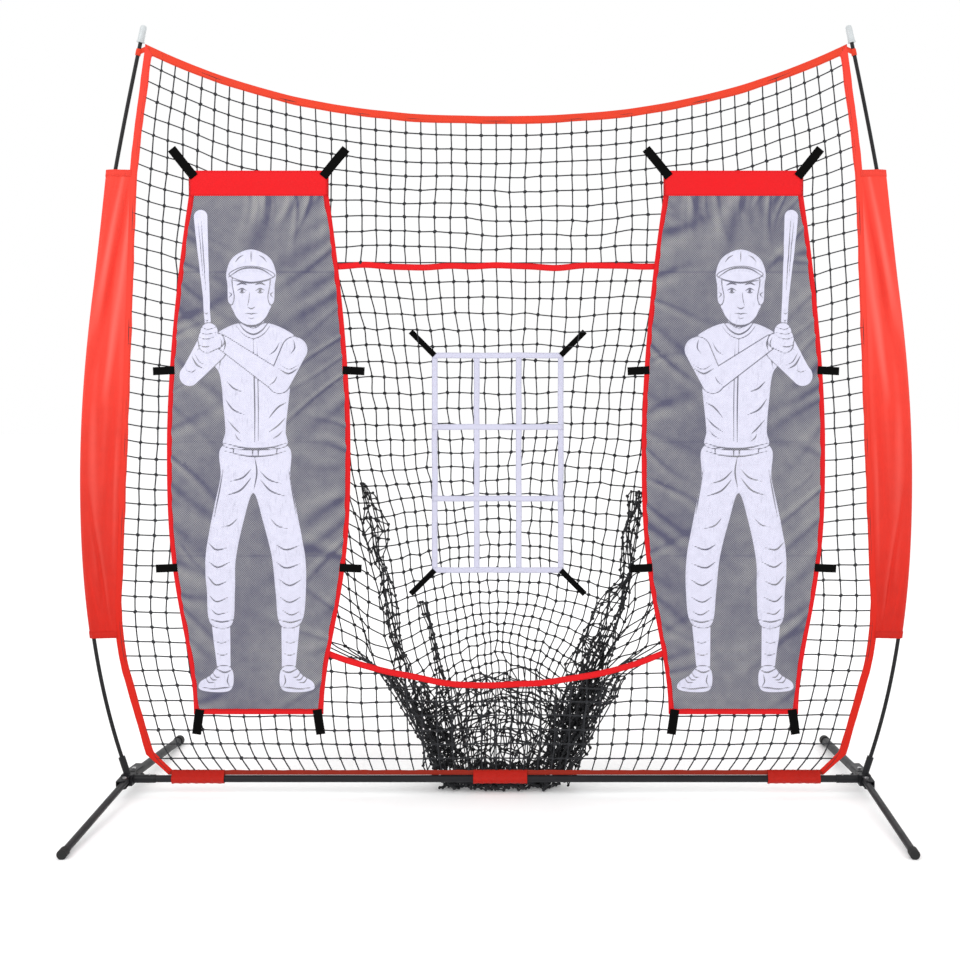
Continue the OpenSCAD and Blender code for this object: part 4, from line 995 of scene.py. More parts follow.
# Folds of slack net: heights upwards, then across, depth and half width at each height, and the
# numbers of columns and rows
SLACK_FOLDS = {
    "left": [
        ([0.05, 0.15, 0.26, 0.34, 0.43, 0.54, 0.64, 0.74, 0.88],
         [-0.165, -0.200, -0.245, -0.283, -0.306, -0.324, -0.343, -0.360, -0.384],
         [0.060, 0.100, 0.125, 0.130, 0.132, 0.125, 0.125, 0.125, 0.125],
         [0.030, 0.030, 0.024, 0.018, 0.015, 0.015, 0.018, 0.022, 0.024], 5, 26),
        ([0.03, 0.12, 0.25, 0.36, 0.46, 0.53], [-0.115, -0.125, -0.155, -0.181, -0.198, -0.216],
         [0.060, 0.120, 0.150, 0.150, 0.135, 0.128], [0.034, 0.032, 0.016, 0.011, 0.010, 0.009],
         4, 15),
        ([0.05, 0.08, 0.15, 0.23, 0.33], [-0.168, -0.172, -0.198, -0.240, -0.298],
         [0.030, 0.040, 0.050, 0.040, 0.015], [0.014, 0.016, 0.018, 0.018, 0.012], 4, 12),
        ([0.05, 0.10, 0.20, 0.30], [-0.130, -0.145, -0.185, -0.235], [0.080, 0.110, 0.120, 0.110],
         [0.036, 0.036, 0.034, 0.020], 6, 13)],
    "right": [
        ([0.05, 0.14, 0.26, 0.36, 0.42, 0.50, 0.55, 0.60, 0.72, 0.85],
         [0.180, 0.205, 0.232, 0.252, 0.270, 0.300, 0.345, 0.380, 0.391, 0.402],
         [0.060, 0.100, 0.130, 0.135, 0.135, 0.130, 0.125, 0.125, 0.125, 0.125],
         [0.040, 0.044, 0.040, 0.032, 0.026, 0.022, 0.018, 0.015, 0.018, 0.016], 6, 27),
        ([0.24, 0.33, 0.38, 0.45, 0.51, 0.60], [0.270, 0.292, 0.312, 0.338, 0.362, 0.386],
         [0.090, 0.100, 0.110, 0.110, 0.115, 0.120], [0.020, 0.020, 0.018, 0.014, 0.010, 0.006],
         5, 13),
        ([0.05, 0.07, 0.15, 0.23, 0.33], [0.185, 0.195, 0.240, 0.290, 0.340],
         [0.030, 0.040, 0.050, 0.040, 0.015], [0.020, 0.022, 0.026, 0.026, 0.018], 5, 12),
        ([0.05, 0.13, 0.22, 0.32], [0.155, 0.180, 0.215, 0.250], [0.070, 0.110, 0.120, 0.110],
         [0.036, 0.038, 0.038, 0.032], 7, 14),
        ([0.05, 0.12, 0.20, 0.30], [0.185, 0.212, 0.248, 0.290], [0.050, 0.075, 0.085, 0.080],
         [0.034, 0.040, 0.040, 0.034], 8, 14),
        ([0.10, 0.20, 0.32, 0.42], [0.190, 0.232, 0.268, 0.285], [0.090, 0.100, 0.110, 0.120],
         [0.030, 0.036, 0.034, 0.026], 7, 13)],
    "middle": [
        ([0.02, 0.12, 0.24, 0.33], [0.000, 0.010, 0.010, 0.010], [0.040, 0.080, 0.110, 0.130],
         [0.160, 0.175, 0.200, 0.215], 13, 11),
        ([0.02, 0.12, 0.22, 0.30], [0.010, 0.020, 0.015, 0.000], [0.070, 0.110, 0.140, 0.150],
         [0.150, 0.165, 0.190, 0.205], 12, 10)],
}


def slack_nodes(heights, across, depths, halves, columns, rows, seed):
    """Knots of one fold of slack net: its middle follows the given places up its heights, its
    columns stand in pleats that are half as deep as the fold is wide, and all wander."""
    z = np.linspace(heights[0], heights[-1], rows + 1)[:, None]
    s = np.linspace(-1, 1, columns + 1)[None, :]
    half = np.interp(z, heights, halves)
    shape = (rows + 1, columns + 1)
    pleat = np.where(np.arange(columns + 1) % 2, 1.0, -1.0)[None, :]
    rough = np.clip(0.35 * half, 0.003, 0.008)
    x = np.interp(z, heights, across) + half * s + rough * soft_noise(shape, 1, seed)
    y = np.interp(z, heights, depths) + np.minimum(half, 0.016) * pleat
    y = y + rough * soft_noise(shape, 1, seed + 20)
    z = z - 0.5 * half * s ** 2 + rough * soft_noise(shape, 1, seed + 40)
    return np.stack([x, clear_of_bar(y, z, 0.006), np.maximum(z, KNOT_LOWEST)], -1)


def heap_nodes(pocket):
    """Knots of the loose net on the ground: its columns are crowded together, and its rows climb
    to and fro in folds between the pocket's foot and the crossbar."""
    u = np.linspace(-1, 1, pocket.heap_columns + 1)[None, :]
    v = np.linspace(0, 1, pocket.heap_rows + 1)[:, None]
    shape = (pocket.heap_rows + 1, pocket.heap_columns + 1)
    half = 0.150 - 0.035 * v
    x = 0.007 + half * u + 0.010 * soft_noise(shape, 2, 31)
    y = 0.112 - 0.100 * v + 0.012 * soft_noise(shape, 2, 32)
    lump = 0.5 + 0.5 * np.sin(v * 11 + 3 * soft_noise(shape, 6, 33))
    height = 0.010 + 0.052 * (1 - np.abs(u) ** 3) * np.sin(np.pi * np.clip(v * 0.9 + 0.1, 0, 1))
    z = 0.004 + height * lump + 0.006 * np.abs(soft_noise(shape, 1, 34))
    return np.stack([x, np.clip(y, 0.0165, 0.125), np.maximum(z, KNOT_LOWEST)], -1)


# ---------------------------------------------------------------- tapes, bands and loops

def ripple(length, size, wavelength, seed):
    """Gentle waves along a tape: three sines of the given length or less with random starts."""
    along = np.asarray(length)
    starts = np.random.default_rng(seed).uniform(0, 2 * np.pi, 3)
    waves = [np.sin(2 * np.pi * along / (wavelength / k) + start) / k
             for k, start in zip((1, 1.7, 2.9), starts)]
    return size * sum(waves) / 1.6


def build_edge_tapes():
    """Folded tape round the net: along the dipping top, down both sides, round the cut-off
    corners, and along the crossbar."""
    net, colours = settings().net, settings().colours
    tape = webbing_surface("edge tape", colours.tape, lines=(0.0035,), deep=0.80)
    hem = webbing_surface("hem tape", darker(colours.tape, 0.42), lines=(0.0035,), deep=0.80)
    # The side tapes take the sleeves' red, with the same painted shade towards their feet
    side_tape = webbing_surface("side tape", darker(colours.sleeve, 0.96), lines=(0.0035,),
                                deep=0.86, foot=foot_shade_red(colours.sleeve))
    x = np.linspace(-CORNER_HALF, CORNER_HALF, 181)
    wave = ripple(x, 0.0012, 0.31, 1) * (1 - (x / CORNER_HALF) ** 8)
    inner = np.stack([x, top_in_z(x) + wave], -1)
    outer = np.stack([x, top_z(x) + wave * 0.4], -1)
    make_piece("tape_along_top", tape_between(inner, outer, ripple(x, 0.0007, 0.2, 2), net.tape_t),
               tape, ["edge_tape_top"])
    cut_z = 0.113
    for name, side in SIDES.items():
        z = np.concatenate([np.linspace(HEM_LOW[2], cut_z, 9)[:-1],
                            np.linspace(cut_z, CORNER_Z, 150)])
        cut = z < cut_z + 0.001
        outer_x = edge_x(z)
        in_z = np.where(cut, HEM_HIGH[2] + (z - HEM_LOW[2]) * 0.050 / 0.058, z)
        in_z = np.minimum(np.maximum(in_z, HEM_HIGH[2]), z + 0.014)
        in_z = np.minimum(in_z, top_in_z(CORNER_HALF - TAPE_W))
        inner_x = np.where(cut, np.interp(z, [HEM_LOW[2], cut_z], [HEM_INNER, CUT_INNER]),
                           outer_x - TAPE_W)
        outer_x = outer_x + ripple(z, 0.0005, 0.12, 3)
        inner_x = inner_x + ripple(z, 0.0009, 0.17, 4)
        inner = np.stack([side * inner_x, in_z], -1)
        outer = np.stack([side * outer_x, z], -1)
        shape = tape_between(inner, outer, ripple(z, 0.0005, 0.3, 5), net.tape_t - 0.0003)
        make_piece(f"tape_down_{name}", shape, side_tape, [f"edge_tape_{name}"])
    x = np.linspace(-HEM_HIGH[0], HEM_HIGH[0], 121)
    pull = np.interp(np.abs(x), [HEM_HIGH[0] - 0.010, HEM_HIGH[0]], [0, 1])
    inner = np.stack([x * (1 - 0.0112 * pull), HEM_HIGH[2] + ripple(x, 0.0008, 0.09, 6)], -1)
    outer = np.stack([x, np.full_like(x, HEM_LOW[2])], -1)
    make_piece("tape_along_foot", tape_between(inner, outer, 0 * x, net.tape_t - 0.0004), hem,
               ["edge_tape_bottom"])


def build_mouth_bands():
    """Webbing round the pocket's mouth. The upper band is a little wavy, the lower one hangs in
    its curve, and the side bands run straight."""
    colours = settings().colours
    band = webbing_surface("mouth band", colours.band, lines=(0.0022, BAND_W - 0.0022), deep=0.82)
    thick = 0.0042
    x = np.linspace(-HEAD_HIGH[0], HEAD_HIGH[0], 161)
    calm = 1 - (x / HEAD_HIGH[0]) ** 6
    path = np.stack([x, MOUTH_TOP + ripple(x, 0.0042, 0.36, 8) * calm], -1)
    make_piece("band_over_mouth", strip_along(path, BAND_W, thick, 0), band,
               ["mouth_band_top"])
    for name, side in SIDES.items():
        z = np.linspace(MOUTH_LOW + BAND_W / 2, MOUTH_TOP - BAND_W / 2, 80)
        path = np.stack([side * (MOUTH_HALF + ripple(z, 0.0012, 0.3, 9)), z], -1)
        make_piece(f"band_beside_mouth_{name}", strip_along(path, BAND_W, thick - 0.0002, 0), band,
                   [f"mouth_band_{name}"])
    x = np.linspace(-LIP_HIGH[0], LIP_HIGH[0], 161)
    share = np.abs(x) / LIP_HIGH[0]
    hang = lip_z(x) + ripple(x, 0.0028, 0.42, 10) * (1 - share ** 6)
    make_piece("band_under_mouth", strip_along(np.stack([x, hang], -1), BAND_W, thick, 0), band,
               ["mouth_band_bottom"])


def build_corner_loops():
    """Webbing loops from the net's top corners round the poles, just under the tip caps: a sleeve
    round the pole and a flat tab that runs from it to the tape."""
    net, colours = settings().net, settings().colours
    loop = webbing_surface("corner loop", colours.tape, lines=(0.003,), deep=0.8)
    for name, side in SIDES.items():
        z = np.linspace(2.1115, 2.1300, 12)
        r = POLE_R + 0.0019 + 0.0004 * np.sin(np.linspace(0, np.pi, 12))
        sleeve = wrap_tube(side, z, r)
        height = 0.0145
        tab = strip_along(between((side * (CORNER_HALF - 0.006), CORNER_Z - 0.0125),
                                  (side * float(pole_x(2.121)), 2.1208), 8), height,
                          net.tape_t - 0.0012, 0)
        make_piece(f"corner_loop_{name}", join_shapes([sleeve, tab]), loop,
                   ["corner_loops"] if side < 0 else ())


def wrap_tube(side, z, r, sides=24):
    """Closed tube round a side pole between two heights, with the radius r at each height."""
    x = pole_x(z)
    line = np.stack([side * x, 0 * z, z], -1)[None]
    tangent = unit(np.gradient(line, axis=1))
    rings = circle_rings(line, tangent, np.array([0, -1.0, 0]) + 0 * tangent, r[None], sides)
    points, quads = sweep(rings)
    around = np.arange(sides) / sides * 2 * np.pi * float(r.mean())
    uv = np.stack([np.tile(around, len(z)), np.repeat(z - z[0], sides)], -1)
    return points, quads, uv


# ---------------------------------------------------------------- poles, sleeves and wraps

def build_spring(name, zinc):
    """Folded leaf spring inside the crossbar, under a button: one leaf lies on the bar's floor, and
    the other rises to the button."""
    low, high = node_box(f"button_spring_{name}")
    button_low, button_high = node_box(f"bar_button_{name}")
    leaf, fold_r = 0.0007, 0.0012
    near, far = (low[0], high[0]) if SIDES[name] > 0 else (high[0], low[0])
    run = np.sign(far - near)
    top, floor = high[2] - leaf / 2, low[2] + leaf / 2
    flat_end = button_high[0] if run > 0 else button_low[0]
    turn = np.linspace(np.pi / 2, -np.pi / 2, 7)
    fold = np.stack([far - run * (fold_r + leaf / 2) + run * fold_r * np.cos(turn),
                     floor + fold_r + fold_r * np.sin(turn)], -1)
    path = np.concatenate([between((near, top), (flat_end, top), 6),
                           between((flat_end + run * 0.001, top - 0.0003), fold[0], 14)[:-1],
                           fold, between(fold[-1], (near, floor), 16)[1:]])
    piece = make_piece(f"leaf_spring_{name}", strip_along(path, leaf, high[1] - low[1], 0), zinc,
                       [f"button_spring_{name}"])
    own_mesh(piece)


def build_poles():
    """Side poles in three sections each: round rods that follow the bow, smooth from end to end,
    and rounded a little where they end."""
    colours = settings().colours
    rod = steel_surface("pole rod", colours.pole, roughness=0.30, scuff=0.25)
    spans = {"lower": (POLE_FOOT[1], POLE_JOINTS[0]), "middle": tuple(POLE_JOINTS),
             "upper": (POLE_JOINTS[1], POLE_TIP[1])}
    for name, side in SIDES.items():
        for part, (low, high) in spans.items():
            gap = 0.0001
            z = np.linspace(low, high - gap, 60)
            x = pole_x(z)
            if part == "lower":
                z, x = np.append(SOCKET_FLOOR[1], z), np.append(SOCKET_FLOOR[0], x)
            line = np.stack([side * x, 0 * z, z], -1)[None]
            tangent = unit(np.gradient(line, axis=1))
            r = np.full(z.shape, POLE_R)
            r[[0, -1]] -= 0.0006
            rings = circle_rings(line, tangent, np.array([0, -1.0, 0]) + 0 * tangent, r[None], 20)
            make_piece(f"pole_{part}_{name}_rod", sweep(rings), rod,
                       [f"pole_{part}_{name}"])


# Long folds of a side sleeve: its upper end and its lower end, as height and share of the way
# from the net to the pole, then its half width as a share and its height: below 0 for a groove
SLEEVE_FOLDS = [
    ((1.78, 0.06), (1.20, 0.92), 0.085, -1.0), ((1.70, -0.10), (1.10, 0.58), 0.110, 0.9),
    ((1.80, 0.42), (1.28, 1.00), 0.120, 0.8), ((1.18, 0.20), (0.74, 0.34), 0.080, -0.6),
    ((1.08, 0.74), (0.60, 0.62), 0.110, 0.6), ((0.86, 0.90), (0.47, 0.22), 0.055, -0.8),
    ((0.76, 0.60), (0.46, 0.10), 0.060, 0.7), ((0.66, 0.95), (0.45, 0.55), 0.060, -0.6),
    ((1.00, 0.12), (0.62, 0.10), 0.050, 0.5)]


def sleeve_relief(z, q):
    """Folds of a sleeve at height z and share q: each is a bell across its line that fades in and
    out along it, and small upright ripples lie over them."""
    total = 0.16 * np.sin(q * 19 + 2.6 * z) * np.sin(3.3 * z + 0.7)
    for (z1, q1), (z0, q0), wide, size in SLEEVE_FOLDS:
        t = (z1 - z) / (z1 - z0)
        fade = np.sin(np.pi * np.clip(0.08 + 0.92 * t, 0, 1)) ** 0.7
        line = q1 + (q0 - q1) * (t + 0.06 * np.sin(9 * z))
        total = total + size * fade * np.exp(-((q - line) / wide) ** 2)
    return total


def sleeve_section(z, fold):
    """Rings of a side sleeve at heights z: for a share q of the way from the net's edge to the
    sleeve's outer edge, the front stands off the middle by a tent over the pole, and both faces
    move together in long folds. Returns the rings (n, k, 3) and the folds at each point."""
    half = 44
    q = (1 - np.cos(np.linspace(0, np.pi, half))) / 2
    z = z[:, None]
    inner = edge_x(z) - 0.005
    pole = pole_x(z)
    flare = 0.016 * np.clip((z - 1.45) / (SLEEVE_HIGH[2] - 1.45), 0, 1) ** 1.6
    outer = pole + POLE_R + 0.0045 + flare
    x = inner + (outer - inner) * q
    share = np.clip((x - inner) / (pole - inner), 0, 1)
    reach = np.where(x < pole, share, (outer - x) / (outer - pole))
    tent = 0.0024 + (POLE_R + 0.0014) * np.clip(reach, 0, 1) ** np.where(x < pole, 1.6, 0.9)
    round_off = np.sqrt(np.clip(1 - ((x - pole) / (POLE_R + 0.004)) ** 2, 0, 1))
    tent = np.maximum(tent, (POLE_R + 0.0022) * round_off)
    closing = np.sqrt(np.clip((outer - x) / 0.003, 0, 1))
    tent = tent * np.maximum(closing, 0.04)
    free = np.clip((pole - inner) / 0.09, 0.3, 1.2)
    away = np.sin(np.pi * share) ** 0.8
    relief = sleeve_relief(z, (x - inner) / (pole - inner))
    wave = fold * free * away * relief + 0.0010 * np.sin(np.pi * q) * np.sin(z * 37 + 6 * q)
    front = np.stack([x, -wave - tent, z + 0 * x], -1)
    back = np.stack([x, -wave + tent, z + 0 * x], -1)
    return (np.concatenate([front, back[:, ::-1]], axis=1),
            np.concatenate([relief, -relief[:, ::-1]], axis=1))


def build_sleeves():
    """Fabric sleeves over the side poles: tubes of cloth from the net's edge tape round the pole,
    hemmed at both ends."""
    cloth, colours = settings().cloth, settings().colours
    fabric = sleeve_surface("sleeve fabric", colours.sleeve)
    hem_fabric = sleeve_surface("sleeve hem", darker(colours.sleeve, 0.94), folded=False)
    low, high = SLEEVE_LOW[2], SLEEVE_HIGH[2]
    z = np.linspace(low, high, 230)
    ring, relief = sleeve_section(z, cloth.sleeve_fold)
    n, k = ring.shape[:2]
    index = np.arange(n * k).reshape(n, k)
    quads = grid_quads(np.pad(index, ((0, 0), (0, 1)), mode="wrap"))
    step = np.linalg.norm(np.diff(ring, axis=1, append=ring[:, :1]), axis=-1)
    around = np.concatenate([np.zeros((n, 1)), np.cumsum(step, axis=1)[:, :-1]], axis=1)
    uv = np.stack([around, np.broadcast_to(z[:, None] - low, around.shape)], -1).reshape(-1, 2)
    for name, side in SIDES.items():
        points = ring.reshape(-1, 3) * np.array([side, 1, 1])
        turned = quads if side > 0 else quads[:, ::-1]
        # The fold value is the sleeve's relief, which paints highlights on the ridges and shade in
        # the grooves
        piece = make_piece(f"sleeve_fabric_{name}", (points, turned, uv), fabric,
                           [f"sleeve_{name}"], attributes={"fold": 0.5 + 0.4 * relief.ravel()})
        thicken(piece, cloth.sleeve_t)
        build_sleeve_hems(name, side, z, ring, hem_fabric, low, high)


def build_sleeve_hems(name, side, z, ring, fabric, low, high):
    """A turned hem at each end of a sleeve: a band of doubled cloth that stands a little proud."""
    parts = []
    for end in (low, high):
        inward = 1 if end == low else -1
        heights = np.array([0, 0.0006, 0.010, 0.0195, 0.020]) * inward + end
        lift = np.array([0.0, 0.0009, 0.0011, 0.0009, 0.0])
        rows = np.clip(np.searchsorted(z, heights), 0, len(z) - 1)
        section = ring[rows].copy()
        section[..., 2] = heights[:, None]
        middle = section.mean(axis=1, keepdims=True)
        outwards = np.sign(section[..., 1] - middle[..., 1])
        outer = section.copy()
        outer[..., 1] += outwards * lift[:, None]
        outer[..., 0] += np.where(section[..., 0] > section[..., 0].max(axis=1, keepdims=True)
                                  - 0.004, lift[:, None], 0)
        inner = section[::-1].copy()
        inner[..., 1] -= outwards[::-1] * 0.0002
        wall = np.concatenate([outer, inner])
        n, k = wall.shape[:2]
        index = np.arange(n * k).reshape(n, k)
        quads = grid_quads(np.pad(index, ((0, 1), (0, 1)), mode="wrap"))
        points = wall.reshape(-1, 3) * np.array([side, 1, 1])
        uv = np.stack([np.tile(np.arange(k) * 0.004, n), np.repeat(np.arange(n) * 0.004, k)], -1)
        parts.append((points, facing_out(points, quads), uv))
    make_piece(f"sleeve_hems_{name}", join_shapes(parts), fabric)


def build_bar_wraps():
    """Cloth wraps that hold the net to the crossbar: each goes under the bar and closes on both
    faces of the hem tape, gathered a little at its ends."""
    cloth, colours = settings().cloth, settings().colours
    fabric = sleeve_surface("wrap fabric", darker(colours.sleeve, 0.82), folded=False)
    low, high = node_box("bar_wraps")
    bar_low, bar_high = node_box("crossbar_left")
    axis_z = (bar_low[2] + bar_high[2]) / 2
    bar_r = (bar_high[2] - bar_low[2]) / 2
    end_l, middle_l, middle_x = 0.150, 0.154, 0.012
    centres = {"left": low[0] + end_l / 2, "middle": middle_x, "right": high[0] - end_l / 2}
    for name, centre in centres.items():
        length = middle_l if name == "middle" else end_l
        x = centre + np.linspace(-length / 2, length / 2, 60)
        turn = np.radians(np.linspace(-58, 238, 44))
        share = np.abs(np.cos(turn))
        u = (x - centre) / (length / 2)
        pucker = 0.0009 * np.sin(u * 21)[:, None] * np.sin(turn * 3)[None] + 0.0006 * np.sin(
            u * 9 + 1)[:, None] * share[None]
        r = bar_r + 0.0022 + pucker + 0.0008 * (np.abs(u)[:, None] ** 6)
        y = -r * np.cos(turn)
        z = axis_z - r * np.sin(turn)
        flap_z = high[2] - 0.0006 * np.abs(np.sin(u * 14))
        front = np.stack([np.full_like(x, -0.0032), flap_z], -1)
        back = np.stack([np.full_like(x, 0.0032), flap_z], -1)
        loop = np.concatenate([front[:, None], np.stack([y, z], -1), back[:, None]], axis=1)
        grid = np.concatenate([np.broadcast_to(x[:, None, None], loop.shape[:2] + (1,)), loop], -1)
        n, k = grid.shape[:2]
        quads = grid_quads(np.arange(n * k).reshape(n, k), turned=True)
        girth = np.linalg.norm(np.diff(grid[n // 2], axis=0), axis=1)
        around = np.concatenate([[0], np.cumsum(girth)])
        uv = np.stack([np.broadcast_to(around, (n, k)), np.broadcast_to(
            (x - x[0])[:, None], (n, k))], -1).reshape(-1, 2)
        piece = make_piece(f"bar_wrap_{name}", (grid.reshape(-1, 3), quads, uv), fabric,
                           ["bar_wraps"] if name == "left" else ())
        thicken(piece, cloth.sleeve_t)


# ---------------------------------------------------------------- the printed batter

def limb(x0, z0, x1, z1, r0, r1):
    """A tapered limb of the figure: its two ends and its radius at each."""
    return (x0, z0), (x1, z1), r0, r1


# The figure faces the thrower, with the bat held upright beside the head. Its outlines are
# smooth curves through a few points, from the middle of the panel and from the ground.
HELMET = [(-0.0874, 1.4533), (-0.0906, 1.4908), (-0.0714, 1.5336), (-0.020, 1.556),
          (0.0314, 1.5336), (0.0506, 1.4908), (0.0474, 1.4533), (0.0453, 1.4105), (0.0356, 1.3998),
          (0.0292, 1.4212), (0.0335, 1.4768), (-0.020, 1.494), (-0.0735, 1.4768),
          (-0.0692, 1.4212), (-0.0756, 1.3998), (-0.0853, 1.4105)]
PEAK = [(-0.0821, 1.4854), (-0.0521, 1.5025), (-0.020, 1.5068), (0.0142, 1.5014), (0.0463, 1.4833),
        (0.0228, 1.4704), (-0.020, 1.464), (-0.0585, 1.4715)]
FACE = [(-0.020, 1.341), (0.010, 1.3506), (0.0314, 1.3784), (0.0421, 1.4212), (0.0431, 1.464),
        (0.0228, 1.5068), (-0.020, 1.5175), (-0.0628, 1.5068), (-0.0831, 1.464), (-0.0821, 1.4212),
        (-0.0714, 1.3784), (-0.050, 1.3506)]
JERSEY = [(-0.052, 1.346), (-0.105, 1.326), (-0.145, 1.294), (-0.142, 1.240), (-0.112, 1.205),
          (-0.100, 1.120), (-0.094, 1.040), (-0.096, 0.996), (-0.010, 0.986), (0.078, 0.996),
          (0.078, 1.040), (0.086, 1.120), (0.098, 1.200), (0.126, 1.235), (0.122, 1.290),
          (0.080, 1.326), (0.024, 1.346), (-0.014, 1.330)]
TROUSERS = [(-0.096, 1.000), (-0.108, 0.905), (-0.132, 0.790), (-0.150, 0.680), (-0.146, 0.580),
            (-0.136, 0.490), (-0.076, 0.486), (-0.066, 0.580), (-0.064, 0.670), (-0.042, 0.780),
            (-0.014, 0.862), (0.014, 0.780), (0.040, 0.675), (0.050, 0.580), (0.064, 0.486),
            (0.122, 0.492), (0.136, 0.580), (0.134, 0.680), (0.114, 0.790), (0.092, 0.905),
            (0.078, 1.000)]
LEFT_SHOE = [(-0.077, 0.362), (-0.112, 0.366), (-0.136, 0.342), (-0.166, 0.322), (-0.168, 0.302),
             (-0.130, 0.294), (-0.082, 0.298), (-0.070, 0.325)]
RIGHT_SHOE = [(0.068, 0.362), (0.103, 0.366), (0.126, 0.342), (0.156, 0.322), (0.158, 0.302),
              (0.120, 0.294), (0.073, 0.298), (0.061, 0.325)]
UNDER_LIMBS = [limb(-0.020, 1.400, -0.018, 1.320, 0.034, 0.036),
               limb(-0.107, 0.500, -0.096, 0.340, 0.027, 0.018),
               limb(0.093, 0.500, 0.086, 0.340, 0.027, 0.018)]
REAR_ARM = [limb(-0.128, 1.272, -0.196, 1.196, 0.036, 0.029),
            limb(-0.196, 1.196, -0.150, 1.300, 0.027, 0.019)]
FRONT_ARM = [limb(0.104, 1.270, 0.060, 1.178, 0.036, 0.031),
             limb(0.060, 1.178, -0.104, 1.292, 0.029, 0.019)]
HANDS = [limb(-0.150, 1.300, -0.140, 1.322, 0.021, 0.024),
         limb(-0.118, 1.296, -0.146, 1.286, 0.020, 0.023)]
BAT = [limb(-0.139, 1.270, -0.148, 1.420, 0.0078, 0.0095),
       limb(-0.148, 1.420, -0.165, 1.650, 0.0095, 0.0195),
       limb(-0.1385, 1.264, -0.1395, 1.270, 0.0125, 0.0125)]

# Lines left bare in the print: points, then the line's width in the middle
FACE_LINES = [
    ([(-0.0607, 1.4544), (-0.0467, 1.4597), (-0.0318, 1.4554)], 0.0052),
    ([(-0.0082, 1.4554), (0.0068, 1.4597), (0.0207, 1.4544)], 0.0052),
    ([(-0.0585, 1.4394), (-0.0457, 1.4447), (-0.0328, 1.4383)], 0.004),
    ([(-0.0072, 1.4383), (0.0057, 1.4447), (0.0185, 1.4394)], 0.004),
    ([(-0.0553, 1.4351), (-0.0457, 1.4319), (-0.0361, 1.4351)], 0.003),
    ([(-0.0039, 1.4351), (0.0057, 1.4319), (0.0153, 1.4351)], 0.003),
    ([(-0.0243, 1.434), (-0.0264, 1.4126), (-0.0307, 1.3945)], 0.0026),
    ([(-0.0307, 1.3923), (-0.020, 1.387), (-0.0093, 1.3923)], 0.0036),
    ([(-0.0393, 1.3741), (-0.0264, 1.3736), (-0.020, 1.372), (-0.0136, 1.3736),
      (-0.0007, 1.3741)], 0.0036),
    ([(-0.0286, 1.3613), (-0.020, 1.3591), (-0.0114, 1.3613)], 0.003),
    ([(-0.0735, 1.387), (-0.0628, 1.3624), (-0.0435, 1.3442), (-0.020, 1.3356), (0.0035, 1.3442),
      (0.0228, 1.3624), (0.0346, 1.387)], 0.0042),
    ([(-0.0724, 1.4661), (-0.0767, 1.4319), (-0.0714, 1.3977)], 0.0036),
    ([(0.0324, 1.4661), (0.0367, 1.4319), (0.0324, 1.3977)], 0.0036),
]
PUPILS = [(-0.0457, 1.4378), (0.0057, 1.4378)]
HELMET_LINES = [
    ([(-0.0853, 1.4768), (-0.0521, 1.4982), (-0.020, 1.5036), (0.0121, 1.4982),
      (0.0453, 1.4768)], 0.0044),
    ([(-0.0714, 1.4683), (-0.0467, 1.464), (-0.020, 1.4608), (0.0068, 1.464),
      (0.0314, 1.4683)], 0.0048),
    ([(-0.020, 1.5517), (-0.020, 1.5368), (-0.020, 1.5196)], 0.003),
    ([(-0.0649, 1.5196), (-0.0542, 1.5325), (-0.0414, 1.540)], 0.0034),
    ([(0.0249, 1.5196), (0.0142, 1.5325), (0.0014, 1.540)], 0.0034),
    ([(-0.0821, 1.434), (-0.0756, 1.4276), (-0.0821, 1.4191)], 0.0034),
    ([(0.0421, 1.434), (0.0356, 1.4276), (0.0421, 1.4191)], 0.0034),
]
JERSEY_LINES = [
    ([(-0.056, 1.347), (-0.038, 1.325), (-0.014, 1.314), (0.010, 1.325), (0.028, 1.347)], 0.0050),
    ([(-0.062, 1.338), (-0.042, 1.314), (-0.014, 1.302), (0.014, 1.314), (0.034, 1.338)], 0.0034),
    ([(-0.014, 1.300), (-0.012, 1.200), (-0.010, 1.100), (-0.010, 1.006)], 0.0040),
    ([(-0.004, 1.296), (-0.002, 1.210), (0.000, 1.110), (0.000, 1.010)], 0.0030),
    ([(-0.110, 1.318), (-0.104, 1.285), (-0.106, 1.250), (-0.112, 1.215)], 0.0040),
    ([(-0.090, 1.180), (-0.070, 1.160), (-0.045, 1.150)], 0.0046),
    ([(-0.094, 1.130), (-0.072, 1.100), (-0.040, 1.085)], 0.0046),
    ([(-0.088, 1.070), (-0.066, 1.045), (-0.050, 1.030)], 0.0042),
    ([(0.080, 1.120), (0.055, 1.105), (0.030, 1.075)], 0.0046),
    ([(0.076, 1.075), (0.058, 1.055), (0.030, 1.035)], 0.0044),
    ([(0.070, 1.040), (0.056, 1.025), (0.040, 1.016)], 0.0036),
    ([(-0.066, 1.030), (-0.060, 1.018), (-0.048, 1.008)], 0.0036),
    ([(0.060, 1.290), (0.048, 1.268), (0.030, 1.255)], 0.0036),
    ([(-0.075, 1.285), (-0.060, 1.262), (-0.040, 1.250)], 0.0036),
]
SLEEVE_LINES = [
    ([(-0.190, 1.252), (-0.176, 1.228), (-0.156, 1.216)], 0.0048),
    ([(-0.183, 1.262), (-0.168, 1.236), (-0.148, 1.226)], 0.0030),
    ([(-0.160, 1.300), (-0.164, 1.280), (-0.176, 1.268)], 0.0034),
    ([(0.112, 1.216), (0.086, 1.202), (0.058, 1.216)], 0.0048),
    ([(0.116, 1.228), (0.088, 1.214), (0.062, 1.228)], 0.0030),
    ([(0.100, 1.300), (0.104, 1.276), (0.092, 1.258)], 0.0036),
    ([(0.030, 1.168), (0.046, 1.180), (0.054, 1.196)], 0.0034),
    ([(-0.205, 1.212), (-0.190, 1.206), (-0.178, 1.214)], 0.0034),
]
